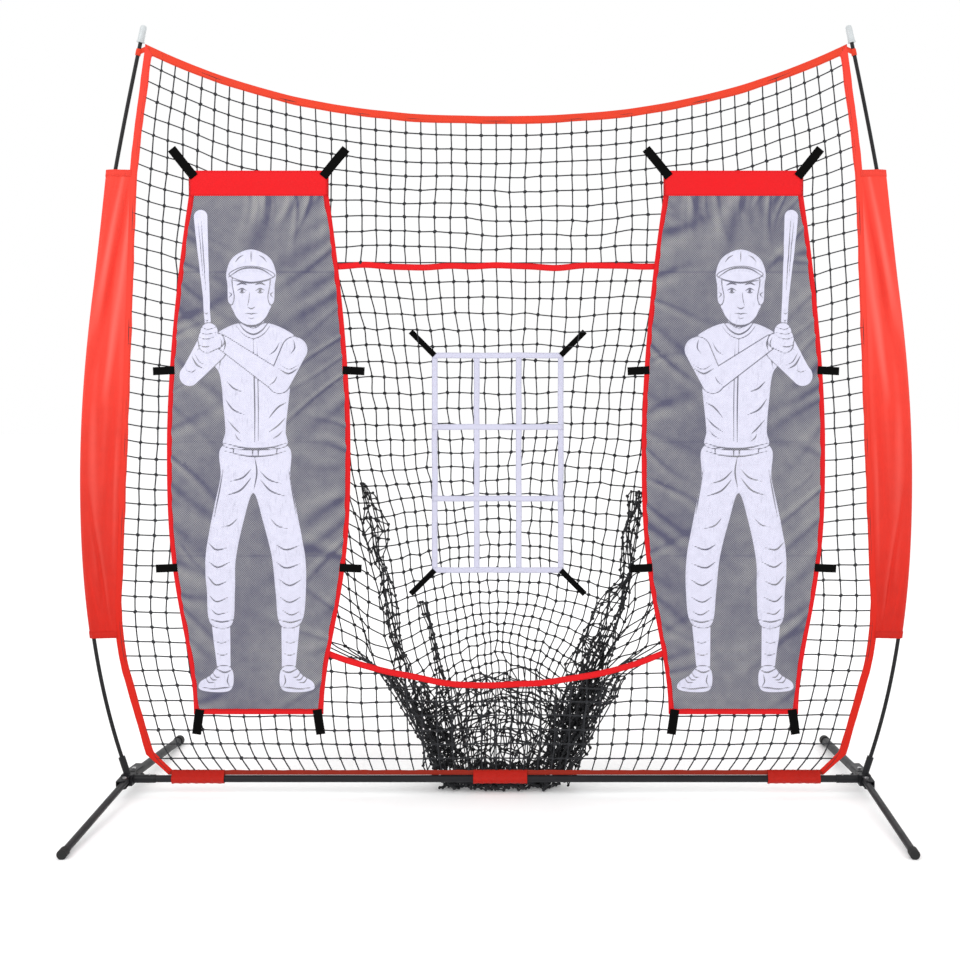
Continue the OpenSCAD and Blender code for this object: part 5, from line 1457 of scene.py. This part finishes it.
GLOVE_LINES = [
    ([(-0.170, 1.284), (-0.152, 1.278), (-0.134, 1.282)], 0.0040),
    ([(-0.168, 1.306), (-0.150, 1.300), (-0.126, 1.306)], 0.0034),
    ([(-0.166, 1.320), (-0.148, 1.314), (-0.120, 1.320)], 0.0034),
    ([(-0.160, 1.334), (-0.144, 1.328), (-0.122, 1.334)], 0.0034),
    ([(-0.098, 1.268), (-0.094, 1.288), (-0.100, 1.308)], 0.0042),
    ([(-0.108, 1.274), (-0.104, 1.290), (-0.110, 1.306)], 0.0028),
]
BAT_LINES = [
    ([(-0.150, 1.440), (-0.156, 1.540), (-0.163, 1.640)], 0.0030),
    ([(-0.158, 1.480), (-0.164, 1.560), (-0.172, 1.635)], 0.0026),
    ([(-0.142, 1.356), (-0.146, 1.352), (-0.150, 1.356)], 0.0030),
    ([(-0.143, 1.376), (-0.147, 1.372), (-0.152, 1.376)], 0.0030),
]
TROUSER_LINES = [
    ([(-0.098, 1.004), (-0.050, 0.992), (-0.010, 0.988), (0.040, 0.992), (0.080, 1.004)], 0.0052),
    ([(-0.098, 0.982), (-0.050, 0.970), (-0.010, 0.966), (0.040, 0.970), (0.080, 0.982)], 0.0046),
    ([(-0.016, 0.986), (-0.016, 0.969)], 0.0040),
    ([(0.000, 0.986), (0.000, 0.969)], 0.0040),
    ([(-0.070, 0.975), (-0.072, 0.990)], 0.0034),
    ([(0.052, 0.975), (0.054, 0.990)], 0.0034),
    ([(-0.010, 0.964), (-0.004, 0.920), (-0.012, 0.872)], 0.0044),
    ([(-0.020, 0.930), (-0.045, 0.905), (-0.080, 0.895)], 0.0046),
    ([(-0.020, 0.905), (-0.050, 0.870), (-0.090, 0.855)], 0.0050),
    ([(0.004, 0.925), (0.030, 0.900), (0.065, 0.888)], 0.0046),
    ([(0.006, 0.900), (0.035, 0.868), (0.078, 0.852)], 0.0048),
    ([(-0.100, 0.930), (-0.112, 0.860), (-0.126, 0.790)], 0.0036),
    ([(0.086, 0.930), (0.098, 0.860), (0.108, 0.800)], 0.0036),
    ([(-0.058, 0.790), (-0.080, 0.770), (-0.105, 0.765)], 0.0040),
    ([(-0.142, 0.720), (-0.120, 0.700), (-0.090, 0.705)], 0.0048),
    ([(-0.140, 0.665), (-0.115, 0.650), (-0.080, 0.665)], 0.0048),
    ([(-0.144, 0.625), (-0.120, 0.600), (-0.088, 0.610)], 0.0048),
    ([(-0.140, 0.570), (-0.118, 0.552), (-0.084, 0.565)], 0.0044),
    ([(-0.134, 0.530), (-0.116, 0.516), (-0.086, 0.522)], 0.0042),
    ([(-0.141, 0.503), (-0.106, 0.494), (-0.072, 0.500)], 0.0048),
    ([(0.034, 0.790), (0.055, 0.768), (0.085, 0.760)], 0.0040),
    ([(0.050, 0.715), (0.080, 0.700), (0.118, 0.712)], 0.0048),
    ([(0.052, 0.665), (0.080, 0.648), (0.120, 0.660)], 0.0048),
    ([(0.060, 0.615), (0.090, 0.598), (0.124, 0.615)], 0.0048),
    ([(0.062, 0.565), (0.090, 0.550), (0.122, 0.565)], 0.0044),
    ([(0.068, 0.528), (0.094, 0.514), (0.118, 0.524)], 0.0042),
    ([(0.060, 0.500), (0.094, 0.493), (0.128, 0.503)], 0.0048),
]
SOCK_LINES = [
    ([(-0.124, 0.440), (-0.104, 0.434), (-0.084, 0.440)], 0.0034),
    ([(-0.121, 0.405), (-0.102, 0.399), (-0.084, 0.405)], 0.0034),
    ([(0.072, 0.440), (0.092, 0.434), (0.111, 0.440)], 0.0034),
    ([(0.071, 0.405), (0.090, 0.399), (0.108, 0.405)], 0.0034),
]
SHOE_LINES = [
    ([(-0.122, 0.361), (-0.096, 0.350), (-0.074, 0.358)], 0.0048),
    ([(-0.168, 0.309), (-0.130, 0.303), (-0.090, 0.307), (-0.072, 0.309)], 0.0044),
    ([(-0.130, 0.349), (-0.120, 0.337), (-0.104, 0.338)], 0.0036),
    ([(-0.140, 0.342), (-0.130, 0.329), (-0.114, 0.330)], 0.0036),
    ([(-0.150, 0.334), (-0.140, 0.321), (-0.124, 0.322)], 0.0036),
    ([(-0.084, 0.345), (-0.088, 0.325), (-0.082, 0.312)], 0.0036),
    ([(0.064, 0.358), (0.088, 0.350), (0.113, 0.361)], 0.0048),
    ([(0.062, 0.309), (0.082, 0.307), (0.122, 0.303), (0.158, 0.309)], 0.0044),
    ([(0.120, 0.349), (0.110, 0.337), (0.094, 0.338)], 0.0036),
    ([(0.130, 0.342), (0.120, 0.329), (0.104, 0.330)], 0.0036),
    ([(0.140, 0.334), (0.130, 0.321), (0.114, 0.322)], 0.0036),
    ([(0.074, 0.345), (0.078, 0.325), (0.072, 0.312)], 0.0036),
]

FAR = 0.006


def near_rows(x, z, low, high):
    """Which points lie within a margin of a box."""
    return ((x > low[0] - FAR) & (x < high[0] + FAR) & (z > low[1] - FAR) & (z < high[1] + FAR))


def line_distance(x, z, path):
    """Distance from each point to a path of straight pieces, and the share of the path's length
    at the nearest place."""
    a, b = path[:-1], path[1:]
    run = b - a
    square = np.maximum((run ** 2).sum(-1), 1e-12)
    dx, dz = x[:, None] - a[:, 0], z[:, None] - a[:, 1]
    t = np.clip((dx * run[:, 0] + dz * run[:, 1]) / square, 0, 1)
    away = np.hypot(dx - t * run[:, 0], dz - t * run[:, 1])
    best = away.argmin(axis=1)
    rows = np.arange(len(x))
    share = (best + t[rows, best]) / len(a)
    return away[rows, best], share


def outline_distance(x, z, outline):
    """Distance from each point to a closed outline, below 0 inside it. A point is inside when a
    ray to its right crosses the outline an odd number of times."""
    path = through(outline, 8, closed=True)
    ring = np.concatenate([path, path[:1]])
    away = np.full(x.shape, FAR)
    pick = near_rows(x, z, path.min(0), path.max(0))
    px, pz = x[pick], z[pick]
    distance, _ = line_distance(px, pz, ring)
    a, b = ring[:-1], ring[1:]
    over = (a[:, 1] > pz[:, None]) != (b[:, 1] > pz[:, None])
    rise = np.where(b[:, 1] == a[:, 1], 1, b[:, 1] - a[:, 1])
    cross = px[:, None] < (b[:, 0] - a[:, 0]) * (pz[:, None] - a[:, 1]) / rise + a[:, 0]
    inside = (over & cross).sum(axis=1) % 2 == 1
    away[pick] = np.where(inside, -distance, distance)
    return away


def limb_distance(x, z, limbs):
    """Distance from each point to the nearest of some tapered limbs, below 0 inside them."""
    away = np.full(x.shape, FAR)
    for (x0, z0), (x1, z1), r0, r1 in limbs:
        run = np.array([x1 - x0, z1 - z0])
        t = np.clip(((x - x0) * run[0] + (z - z0) * run[1]) / (run ** 2).sum(), 0, 1)
        distance = np.hypot(x - x0 - t * run[0], z - z0 - t * run[1]) - (r0 + (r1 - r0) * t)
        away = np.minimum(away, distance)
    return away


def carve(field, x, z, lines):
    """The print's distance with bare lines cut into it. A line is widest in its middle and runs
    out to 4 tenths of that at its ends."""
    for points, width in lines:
        path = through(points, 6)
        pick = near_rows(x, z, path.min(0), path.max(0))
        distance, share = line_distance(x[pick], z[pick], path)
        half = width / 2 * (0.4 + 0.6 * np.sin(np.pi * share))
        field[pick] = np.maximum(field[pick], half - distance)
    return field


def over(field, shape, rim):
    """Lays a shape over the print and leaves a bare rim of the given width round it."""
    field = np.maximum(field, np.minimum(rim - shape, FAR))
    return np.minimum(field, shape)


def batter_print(x, z):
    """The print on a batter panel at points in X from its middle and Z: how far each is outside
    the white ink, in metres, below 0 on it, and a tone from 0 to 1 that shades the ink."""
    field = np.full(x.shape, FAR)
    field = np.minimum(field, limb_distance(x, z, UNDER_LIMBS))
    field = carve(field, x, z, SOCK_LINES)
    for shoe in (LEFT_SHOE, RIGHT_SHOE):
        field = over(field, outline_distance(x, z, shoe), 0.0030)
    field = carve(field, x, z, SHOE_LINES)
    field = over(field, outline_distance(x, z, TROUSERS), 0.0030)
    field = over(field, outline_distance(x, z, JERSEY), 0.0030)
    field = carve(field, x, z, TROUSER_LINES + JERSEY_LINES)
    field = over(field, limb_distance(x, z, BAT), 0.0026)
    field = carve(field, x, z, BAT_LINES)
    field = over(field, limb_distance(x, z, REAR_ARM), 0.0030)
    field = over(field, outline_distance(x, z, FACE), 0.0026)
    field = carve(field, x, z, FACE_LINES)
    for px, pz in PUPILS:
        field = np.maximum(field, 0.0042 - np.hypot(x - px, z - pz))
    field = over(field, outline_distance(x, z, HELMET), 0.0028)
    field = over(field, outline_distance(x, z, PEAK), 0.0026)
    field = carve(field, x, z, HELMET_LINES)
    field = over(field, limb_distance(x, z, FRONT_ARM), 0.0032)
    field = carve(field, x, z, SLEEVE_LINES)
    field = over(field, limb_distance(x, z, HANDS), 0.0030)
    field = carve(field, x, z, GLOVE_LINES)
    body = np.minimum.reduce([outline_distance(x, z, TROUSERS), outline_distance(x, z, JERSEY),
                              outline_distance(x, z, HELMET), limb_distance(x, z, FRONT_ARM)])
    hatch = 0.5 + 0.5 * np.sin((x * 0.8 + z * 0.6) * 2 * np.pi / 0.0085)
    tone = np.clip(1 + body / 0.010, 0, 1) * 0.45 * hatch
    return np.clip(field, -FAR, FAR), np.where(body < 0, tone, 0)


# ---------------------------------------------------------------- batter panels

def panel_rows():
    """Heights of the rows of a panel's cloth: evenly spaced, but closer over the head, where the
    print is finer. The spacing is 1 over a density, which is 1 and rises to 1.9 at the head."""
    low, high = PANEL_LOW[2] + BINDING_W - 0.006, BAND_LOW[2] + 0.006
    z = np.linspace(low, high, 2000)
    density = 1 + 0.9 * np.exp(-((z - 1.455) / 0.10) ** 4)
    total = np.concatenate([[0], np.cumsum((density[1:] + density[:-1]) / 2 * np.diff(z))])
    return np.interp(np.linspace(0, total[-1], 441), total, z)


def crease_set(seed, width, low, high):
    """Random creases of a hung panel as rows of (x, z) of both ends, width and size. The first
    hang from the band, the next start at a side edge and run inwards and down, and one long
    ridge comes down from the middle of the band."""
    rng = np.random.default_rng(seed)
    hangs, slants = 17, 46
    x = rng.uniform(-0.47, 0.47, hangs) * width
    length = rng.uniform(0.04, 0.17, hangs)
    lean = -0.25 * x + rng.uniform(-0.04, 0.04, hangs)
    hung = np.stack([x, np.full(hangs, high + 0.01), x + lean, high - length,
                     rng.uniform(0.004, 0.009, hangs), rng.uniform(0.5, 1.2, hangs)], -1)
    side = np.where(np.arange(slants) % 2, 1.0, -1.0)
    z = low + (high - low) * (np.arange(slants) + rng.uniform(0, 1, slants)) / slants
    run = rng.uniform(0.12, 0.32, slants)
    fall = run * rng.uniform(0.35, 1.1, slants) * rng.choice([1, 1, 1, -0.6], slants)
    x = side * width * rng.uniform(0.42, 0.54, slants)
    aslant = np.stack([x, z, x - side * run, z - fall, rng.uniform(0.005, 0.014, slants),
                       rng.uniform(0.4, 1.2, slants)], -1)
    ridge = [[0.02, high + 0.02, -0.06, high - 0.24, 0.016, 1.5],
             [0.10, high + 0.02, 0.105, high - 0.20, 0.005, 1.2]]
    return np.concatenate([hung, aslant, ridge])


def panel_folds(x, z, half, depth, seed):
    """How far a panel's cloth stands forward at the points x and z, and its painted light and
    shade: each crease is a bell across its line with a painted highlight on one flank and a dark
    groove of painted shade beside it, both fade towards its far end, and they lie over a slow
    swell, slow waves of painted light, and the faint marks of having been folded for the box, which
    are dented and painted darker as shade. The standing dies out at the edges."""
    low, high = z.min(), z.max()
    v = (z - low) / (high - low)
    inside = np.clip((1 - np.abs(x) / half) / 0.10, 0, 1) ** 0.8
    inside = inside * np.clip((v - 0.004) / 0.02, 0, 1) * np.clip((0.990 - v) / 0.05, 0, 1)
    total = 0.9 * np.cos(x / half * np.pi / 2) * (0.6 + 0.4 * np.sin(8.2 * v + seed))
    # Painted light: slow waves round a middle tone
    lit = 0.45 + 0.10 * np.sin(7 * x + 5 * v + seed) * np.cos(9 * v - 3 * x)
    for x0, z0, x1, z1, wide, size in crease_set(seed, 2 * half.max(), low, high):
        run = math.hypot(x1 - x0, z1 - z0)
        along = ((x - x0) * (x1 - x0) + (z - z0) * (z1 - z0)) / run ** 2
        across = ((x - x0) * (z1 - z0) - (z - z0) * (x1 - x0)) / run
        across = across + 0.006 * np.sin(along * 5 + seed + z0 * 40)
        spread = wide * (1 + along.clip(0, 1))
        fade = np.clip(1 - along, 0, 1) * np.clip((along + 0.15) / 0.15, 0, 1)
        total = total + size * fade * np.exp(-(across / spread) ** 2)
        # Painted highlight on one flank of the crease and painted shade beside it
        lit = lit + 0.34 * size * fade * (np.exp(-((across - 0.9 * spread) / spread) ** 2)
                                          - 1.3 * np.exp(-((across / spread + 0.8) / 0.7) ** 2))
    # Marks of the box folds, dented and painted darker as shade
    for height, size in ((0.848, 1.0), (0.52, 0.5), (0.30, 0.7)):
        mark = np.exp(-((v - height) / 0.0022) ** 2)
        total, lit = total - 0.10 * size * mark, lit - 0.22 * size * mark
    return depth * inside * np.clip(total + 0.8, 0, None) / 2.6, np.clip(lit, 0, 1)


def panel_grid(z, columns, cloth_t, depth, seed):
    """Front points of a panel's cloth by row and column, and how lit its folds are."""
    half = (batter_half(z) - BINDING_W + 0.006)[:, None]
    x = np.linspace(-1, 1, columns + 1)[None, :] * half
    middle = (PANEL_LOW[1] + PANEL_HIGH[1]) / 2
    stand, lit = panel_folds(x, z[:, None], half, depth, seed)
    y = middle - cloth_t / 2 - stand
    return x, y, np.broadcast_to(z[:, None], x.shape), lit


def build_panel_cloth(name, side, mesh_fabric):
    """Printed mesh cloth of one panel: a fine grid in front that carries the print, a coarse one
    behind it, and a rim that joins them. The print is mirrored from one panel to the other."""
    cloth = settings().cloth
    rows, columns, skip = 440, 200, 4
    z = panel_rows()
    x, y, zz, lit = panel_grid(z, columns, cloth.panel_t, cloth.panel_fold, 70 + side)
    edge, tone = batter_print(-side * x.ravel(), zz.ravel())
    back = (slice(None, None, skip), slice(None, None, skip))
    centre = side * BATTER_X
    front_points = np.stack([x + centre, y, zz], -1)
    back_points = front_points[back] + np.array([0, cloth.panel_t, 0])
    w = columns + 1
    index = np.arange((rows + 1) * w).reshape(rows + 1, w)
    rear = index.size + np.arange(back_points[..., 0].size).reshape(back_points.shape[:2])
    border = np.concatenate([index[0, :-1], index[:-1, -1], index[-1, :0:-1], index[:0:-1, 0]])
    rear_border = np.concatenate([rear[0, :-1], rear[:-1, -1], rear[-1, :0:-1], rear[:0:-1, 0]])
    fine = border.reshape(-1, skip)
    fine = np.concatenate([fine, np.roll(fine[:, :1], -1, axis=0)], axis=1)
    rim = np.stack([rear_border, np.roll(rear_border, -1)], -1)
    rims = np.concatenate([rim, fine[:, ::-1]], axis=1)
    points = np.concatenate([front_points.reshape(-1, 3), back_points.reshape(-1, 3)])
    stacked = [np.concatenate([w1.ravel(), w1[back].ravel()]) for w1 in (x, zz, lit)]
    rear_n = back_points[..., 0].size
    # The fold value is the painted light and shade of the folds; the print values carry the print
    attributes = {"print_edge": np.concatenate([edge, np.full(rear_n, FAR)]),
                  "print_tone": np.concatenate([tone, np.zeros(rear_n)]), "fold": stacked[2]}
    faces = [grid_quads(index), grid_quads(rear, turned=True), rims]
    piece = make_piece(f"batter_mesh_{name}", (points, faces, np.stack(stacked[:2], -1)),
                       mesh_fabric, [f"batter_cloth_{name}"],
                       f"batter_{name}_body", attributes)


def build_panel_edges(name, side):
    """Binding folded over the sides and foot of a panel, and the deep band along its top."""
    colours = settings().colours
    band = webbing_surface("panel binding", darker(colours.band, 0.9), lines=(0.0002, 0.0034),
                           deep=0.84, stitch=darker(colours.band, 0.22))
    top = webbing_surface("panel band", colours.band, thread=0.0009,
                          lines=(0.004, BAND_HIGH[2] - BAND_LOW[2] - 0.004), deep=0.9)
    body = f"batter_{name}_body"
    centre = side * BATTER_X
    middle = (PANEL_LOW[1] + PANEL_HIGH[1]) / 2
    thick = PANEL_HIGH[1] - PANEL_LOW[1]
    z = np.linspace(PANEL_LOW[2] + 0.002, BAND_LOW[2], 150)
    parts = []
    for s in (-1, 1):
        outer = batter_half(z) - 0.0002
        inner = outer - BINDING_W + ripple(z, 0.0006, 0.06, 17)
        y = middle + ripple(z, 0.0002, 0.09, 18)
        parts.append(tape_between(np.stack([centre + s * inner, z], -1),
                                  np.stack([centre + s * outer, z], -1), y, thick))
    half = batter_half(PANEL_LOW[2]) - 0.001
    x = np.linspace(-half, half, 90)
    parts.append(tape_between(
        np.stack([centre + x, PANEL_LOW[2] + BINDING_W + ripple(x, 0.0005, 0.06, 19)], -1),
        np.stack([centre + x, np.full_like(x, PANEL_LOW[2])], -1), middle + 0 * x, thick + 0.0004))
    make_piece(f"batter_edge_{name}", join_shapes(parts), band,
               [f"batter_binding_{name}"], body)
    z = np.linspace(BAND_LOW[2], BAND_HIGH[2], 40)
    outer = batter_half(z)
    y = middle + 0.0006 * np.sin((z - z[0]) * 120)
    inner_edge = np.stack([centre - outer, z], -1)
    outer_edge = np.stack([centre + outer, z], -1)
    points, quads, uv = tape_between(inner_edge, outer_edge, y, thick)
    points[:, 1] += 0.0005 * np.sin(points[:, 0] * 38) * np.sin((points[:, 2] - z[0]) * 44)
    make_piece(f"batter_head_{name}", (points, quads, uv[:, ::-1]), top,
               [f"batter_band_{name}"], body)


def strap_shape(x, z, angle, length, width, y, dip):
    """One strap from the point (x, z), turned by the angle from straight up: its outer end dips
    back towards the net, where it closes round a cord."""
    angle = np.radians(angle)
    t = np.linspace(0, 1, 26)
    direction = np.array([np.sin(angle), np.cos(angle)])
    path = np.array([x, z]) + t[:, None] * length * direction
    bend = dip * np.clip((t - 0.35) / 0.65, 0, 1) ** 1.5
    lift = 0.0012 * np.sin(np.pi * t)
    return strip_along(path, width, 0.0016, y + bend - lift)


def build_panel_straps(name, side, strap):
    """The eight hook-and-loop straps of a panel: two at its head, two on each side and two at its
    foot, each sewn to the panel's face and closed round the net's cords at its outer end."""
    low, high = node_box(f"batter_straps_{name}")
    y = (low[1] + high[1]) / 2
    centre = side * BATTER_X
    height = BAND_HIGH[2] - PANEL_LOW[2]
    parts = []
    for s in (-1, 1):
        top_half = float(batter_half(BAND_HIGH[2]))
        low_half = float(batter_half(PANEL_LOW[2]))
        parts.append(strap_shape(centre + s * (top_half - 0.016), BAND_HIGH[2] - 0.018, s * 39,
                                 0.104, 0.026, y, 0.0036))
        for share in (0.27, 0.633):
            z = PANEL_LOW[2] + share * height
            parts.append(strap_shape(centre + s * (float(batter_half(z)) - 0.014), z, s * 93,
                                     0.062, 0.023, y, 0.0032))
        parts.append(strap_shape(centre + s * (low_half - 0.018), PANEL_LOW[2] + 0.014,
                                 180 - s * 8, 0.072, 0.026, y, 0.0032))
    make_piece(f"batter_straps_{name}_webbing", join_shapes(parts), strap,
               [f"batter_straps_{name}"], f"batter_{name}_body")


# ---------------------------------------------------------------- strike zone

def build_strike_zone():
    """Strike zone of pale webbing: a frame and four dividers that cross in the middle, each its
    own strip, and four black straps from its corners."""
    colours = settings().colours
    webbing = webbing_surface("zone webbing", colours.webbing, thread=0.0014, deep=0.90,
                              lines=(0.0020, 0.0150), stitch=darker(colours.webbing, 0.8))
    strap = strap_surface("zone strap", 0.0015)
    width, height = ZONE_HIGH[0] - ZONE_LOW[0], ZONE_HIGH[2] - ZONE_LOW[2]
    strip = 0.017
    middle = (ZONE_LOW[1] + ZONE_HIGH[1]) / 2
    thick = ZONE_HIGH[1] - ZONE_LOW[1]
    half = strip / 2
    columns = np.linspace(ZONE_LOW[0] + half, ZONE_HIGH[0] - half, 4)
    rows = np.linspace(ZONE_LOW[2] + half, ZONE_HIGH[2] - half, 4)
    parts = []
    for k, x in enumerate(columns):
        z = np.linspace(ZONE_LOW[2], ZONE_HIGH[2], 60)
        path = np.stack([x + ripple(z, 0.0009, 0.25, 80 + k) * np.sin(
            np.pi * (z - z[0]) / height), z], -1)
        parts.append(strip_along(path, strip, thick, middle + 0.0002 + 0 * z))
    for k, z in enumerate(rows):
        x = np.linspace(ZONE_LOW[0], ZONE_HIGH[0], 50)
        path = np.stack([x, z + ripple(x, 0.0009, 0.2, 90 + k) * np.sin(
            np.pi * (x - x[0]) / width)], -1)
        parts.append(strip_along(path, strip, thick, middle - 0.0009 + 0 * x))
    make_piece("strike_zone_webbing", join_shapes(parts), webbing, ["strike_zone"],
               "strike_zone_body")
    parts = []
    y = middle - thick - 0.0006
    centre_z = (ZONE_LOW[2] + ZONE_HIGH[2]) / 2
    for s in (-1, 1):
        for t in (-1, 1):
            parts.append(strap_shape(s * (width / 2 - 0.008), centre_z + t * (height / 2 - 0.008),
                                     s * (90 - t * 45), 0.100, strip, y, 0.0012))
    make_piece("strike_zone_strap_set", join_shapes(parts), strap,
               ["strike_zone_straps"], "strike_zone_body")


# ---------------------------------------------------------------- operators

class PITCHNET_OT_finish_frame(Operator):
    """Gives the foot frame, bolts, buttons, feet and caps their finishes, and makes the poles"""

    bl_idname = "pitchnet.finish_frame"
    bl_label = "Frame and poles"

    def execute(self, context):
        colours = settings().colours
        build_weave()
        build_patches()
        build_stitches()
        coat = steel_surface("powder coat", colours.steel)
        zinc = steel_surface("zinc plate", colours.zinc, roughness=0.34, metallic=0.9, scuff=0.2)
        dark_zinc = steel_surface("ferrule steel", darker(colours.zinc, 0.25), roughness=0.4,
                                  metallic=0.8, scuff=0.3)
        finishes = {
            coat: ["crossbar_left", "crossbar_right", "hub_left", "hub_right", "front_leg_left",
                   "front_leg_right", "rear_leg_left", "rear_leg_right"],
            zinc: ["leg_bolts", "leg_nuts", "bar_button_left", "bar_button_right"],
            dark_zinc: ["pole_ferrules"],
            plain_surface("foot rubber", colours.rubber, 0.78, specular=0.3):
                ["front_foot_left", "front_foot_right", "rear_foot_left", "rear_foot_right"],
            plain_surface("tip cap plastic", colours.cap, 0.32): ["tip_caps"],
        }
        for material, names in finishes.items():
            for node in names:
                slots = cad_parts[node].data.materials
                slots.clear()
                slots.append(material)
        for name in SIDES:
            build_spring(name, zinc)
        build_poles()
        return {"FINISHED"}


class PITCHNET_OT_net(Operator):
    """Knots the face of the net and the pocket"""

    bl_idname = "pitchnet.net"
    bl_label = "Net and pocket"

    def execute(self, context):
        build_face_net()
        build_pocket()
        return {"FINISHED"}


class PITCHNET_OT_tapes(Operator):
    """Sews the edge tapes, the bands of the mouth and the corner loops"""

    bl_idname = "pitchnet.tapes"
    bl_label = "Tapes and bands"

    def execute(self, context):
        build_edge_tapes()
        build_mouth_bands()
        build_corner_loops()
        return {"FINISHED"}


class PITCHNET_OT_sleeves(Operator):
    """Makes the fabric sleeves on the side poles and the wraps on the crossbar"""

    bl_idname = "pitchnet.sleeves"
    bl_label = "Sleeves and wraps"

    def execute(self, context):
        build_sleeves()
        build_bar_wraps()
        return {"FINISHED"}


class PITCHNET_OT_batters(Operator):
    """Makes the two printed batter panels with their bindings, bands and straps"""

    bl_idname = "pitchnet.batters"
    bl_label = "Batter panels"

    def execute(self, context):
        colours, cloth = settings().colours, settings().cloth
        strap = strap_surface("panel strap", 0.0016)
        mesh_fabric = panel_surface("panel mesh", colours.panel, colours.ink, cloth.weave)
        for name, side in SIDES.items():
            build_panel_edges(name, side)
            build_panel_straps(name, side, strap)
            build_panel_cloth(name, side, mesh_fabric)
        return {"FINISHED"}


class PITCHNET_OT_zone(Operator):
    """Makes the strike zone of webbing and its straps"""

    bl_idname = "pitchnet.zone"
    bl_label = "Strike zone"

    def execute(self, context):
        build_strike_zone()
        return {"FINISHED"}


class PITCHNET_OT_stage(Operator):
    """Sets the plain pale floor, the soft studio light and the camera"""

    bl_idname = "pitchnet.stage"
    bl_label = "Studio"

    def execute(self, context):
        studio, colours = settings().studio, settings().colours
        scene = context.scene
        size = 30.0
        mesh = bpy.data.meshes.new("studio_floor")
        mesh.from_pydata([(-size, -size, 0), (size, -size, 0), (size, size, 0), (-size, size, 0)],
                         [], [(0, 1, 2, 3)])
        floor = bpy.data.objects.new("studio_floor", mesh)
        scene.collection.objects.link(floor)
        surface = Surface("studio floor", colours.floor, 0.9, specular=0.1)
        surface.set("Base Color", surface.mix(surface.patches(0.4),
                                              darker(colours.floor, 0.995), colours.floor))
        surface.set("Emission Color", (1, 1, 1, 1))
        surface.set("Emission Strength", studio.floor_glow)
        mesh.materials.append(surface.material)

        world = bpy.data.worlds.new("studio")
        scene.world = world
        world.use_nodes = True
        background = world.node_tree.nodes["Background"]
        background.inputs["Color"].default_value = (1, 1, 1, 1)
        background.inputs["Strength"].default_value = studio.ambient
        for name, place, power, wide in (("key", (-2.6, -3.2, 3.4), studio.key, 2.6),
                                         ("fill", (3.2, -2.6, 2.4), studio.key * 0.45, 3.0),
                                         ("back", (0.6, 3.4, 3.2), studio.key * 0.5, 3.0)):
            light = bpy.data.lights.new(name, "AREA")
            light.energy = power
            light.size = wide
            lamp = bpy.data.objects.new(name, light)
            lamp.location = place
            aim = np.array([0, 0, 1.0]) - np.array(place)
            lamp.rotation_euler = (math.atan2(math.hypot(aim[0], aim[1]), -aim[2]), 0,
                                   math.atan2(-aim[0], aim[1]))
            scene.collection.objects.link(lamp)
        camera = bpy.data.cameras.new("studio camera")
        camera.lens = studio.lens
        camera.sensor_width = 36
        camera.shift_x = (studio.aim_x - studio.eye_x) / studio.distance * studio.lens / 36
        camera.shift_y = (studio.aim_h - studio.eye_h) / studio.distance * studio.lens / 36
        view = bpy.data.objects.new("studio camera", camera)
        view.location = (studio.eye_x, -studio.distance, studio.eye_h)
        view.rotation_euler = (math.pi / 2, 0, 0)
        scene.collection.objects.link(view)
        scene.camera = view
        scene.view_settings.view_transform = "Standard"
        return {"FINISHED"}


STEPS = (PITCHNET_OT_finish_frame, PITCHNET_OT_net, PITCHNET_OT_tapes, PITCHNET_OT_sleeves,
         PITCHNET_OT_batters, PITCHNET_OT_zone, PITCHNET_OT_stage)


class PITCHNET_PT_sidebar(Panel):
    """Lists the steps that dress the net"""

    bl_label = "Pitching Net"
    bl_idname = "PITCHNET_PT_sidebar"
    bl_space_type = "VIEW_3D"
    bl_region_type = "UI"
    bl_category = "Pitching Net"

    def draw(self, context):
        for step in STEPS:
            self.layout.operator(step.bl_idname, text=step.bl_label)
        for group in ("net", "pocket", "cloth", "colours", "studio"):
            sizes = getattr(context.scene.pitching_net, group)
            box = self.layout.box()
            box.label(text=group.capitalize())
            for key in sizes.bl_rna.properties.keys():
                if key not in ("rna_type", "name"):
                    box.prop(sizes, key)


CLASSES = (NetSizes, PocketSizes, ClothSizes, Colours, Studio, PitchingNet, *STEPS,
           PITCHNET_PT_sidebar)


def register():
    for cls in CLASSES:
        bpy.utils.register_class(cls)
    bpy.types.Scene.pitching_net = PointerProperty(type=PitchingNet)


def unregister():
    del bpy.types.Scene.pitching_net
    for cls in reversed(CLASSES):
        bpy.utils.unregister_class(cls)


def main():
    register()
    for step in STEPS:
        family, name = step.bl_idname.split(".")
        getattr(getattr(bpy.ops, family), name)()


if __name__ == "__main__":
    main()
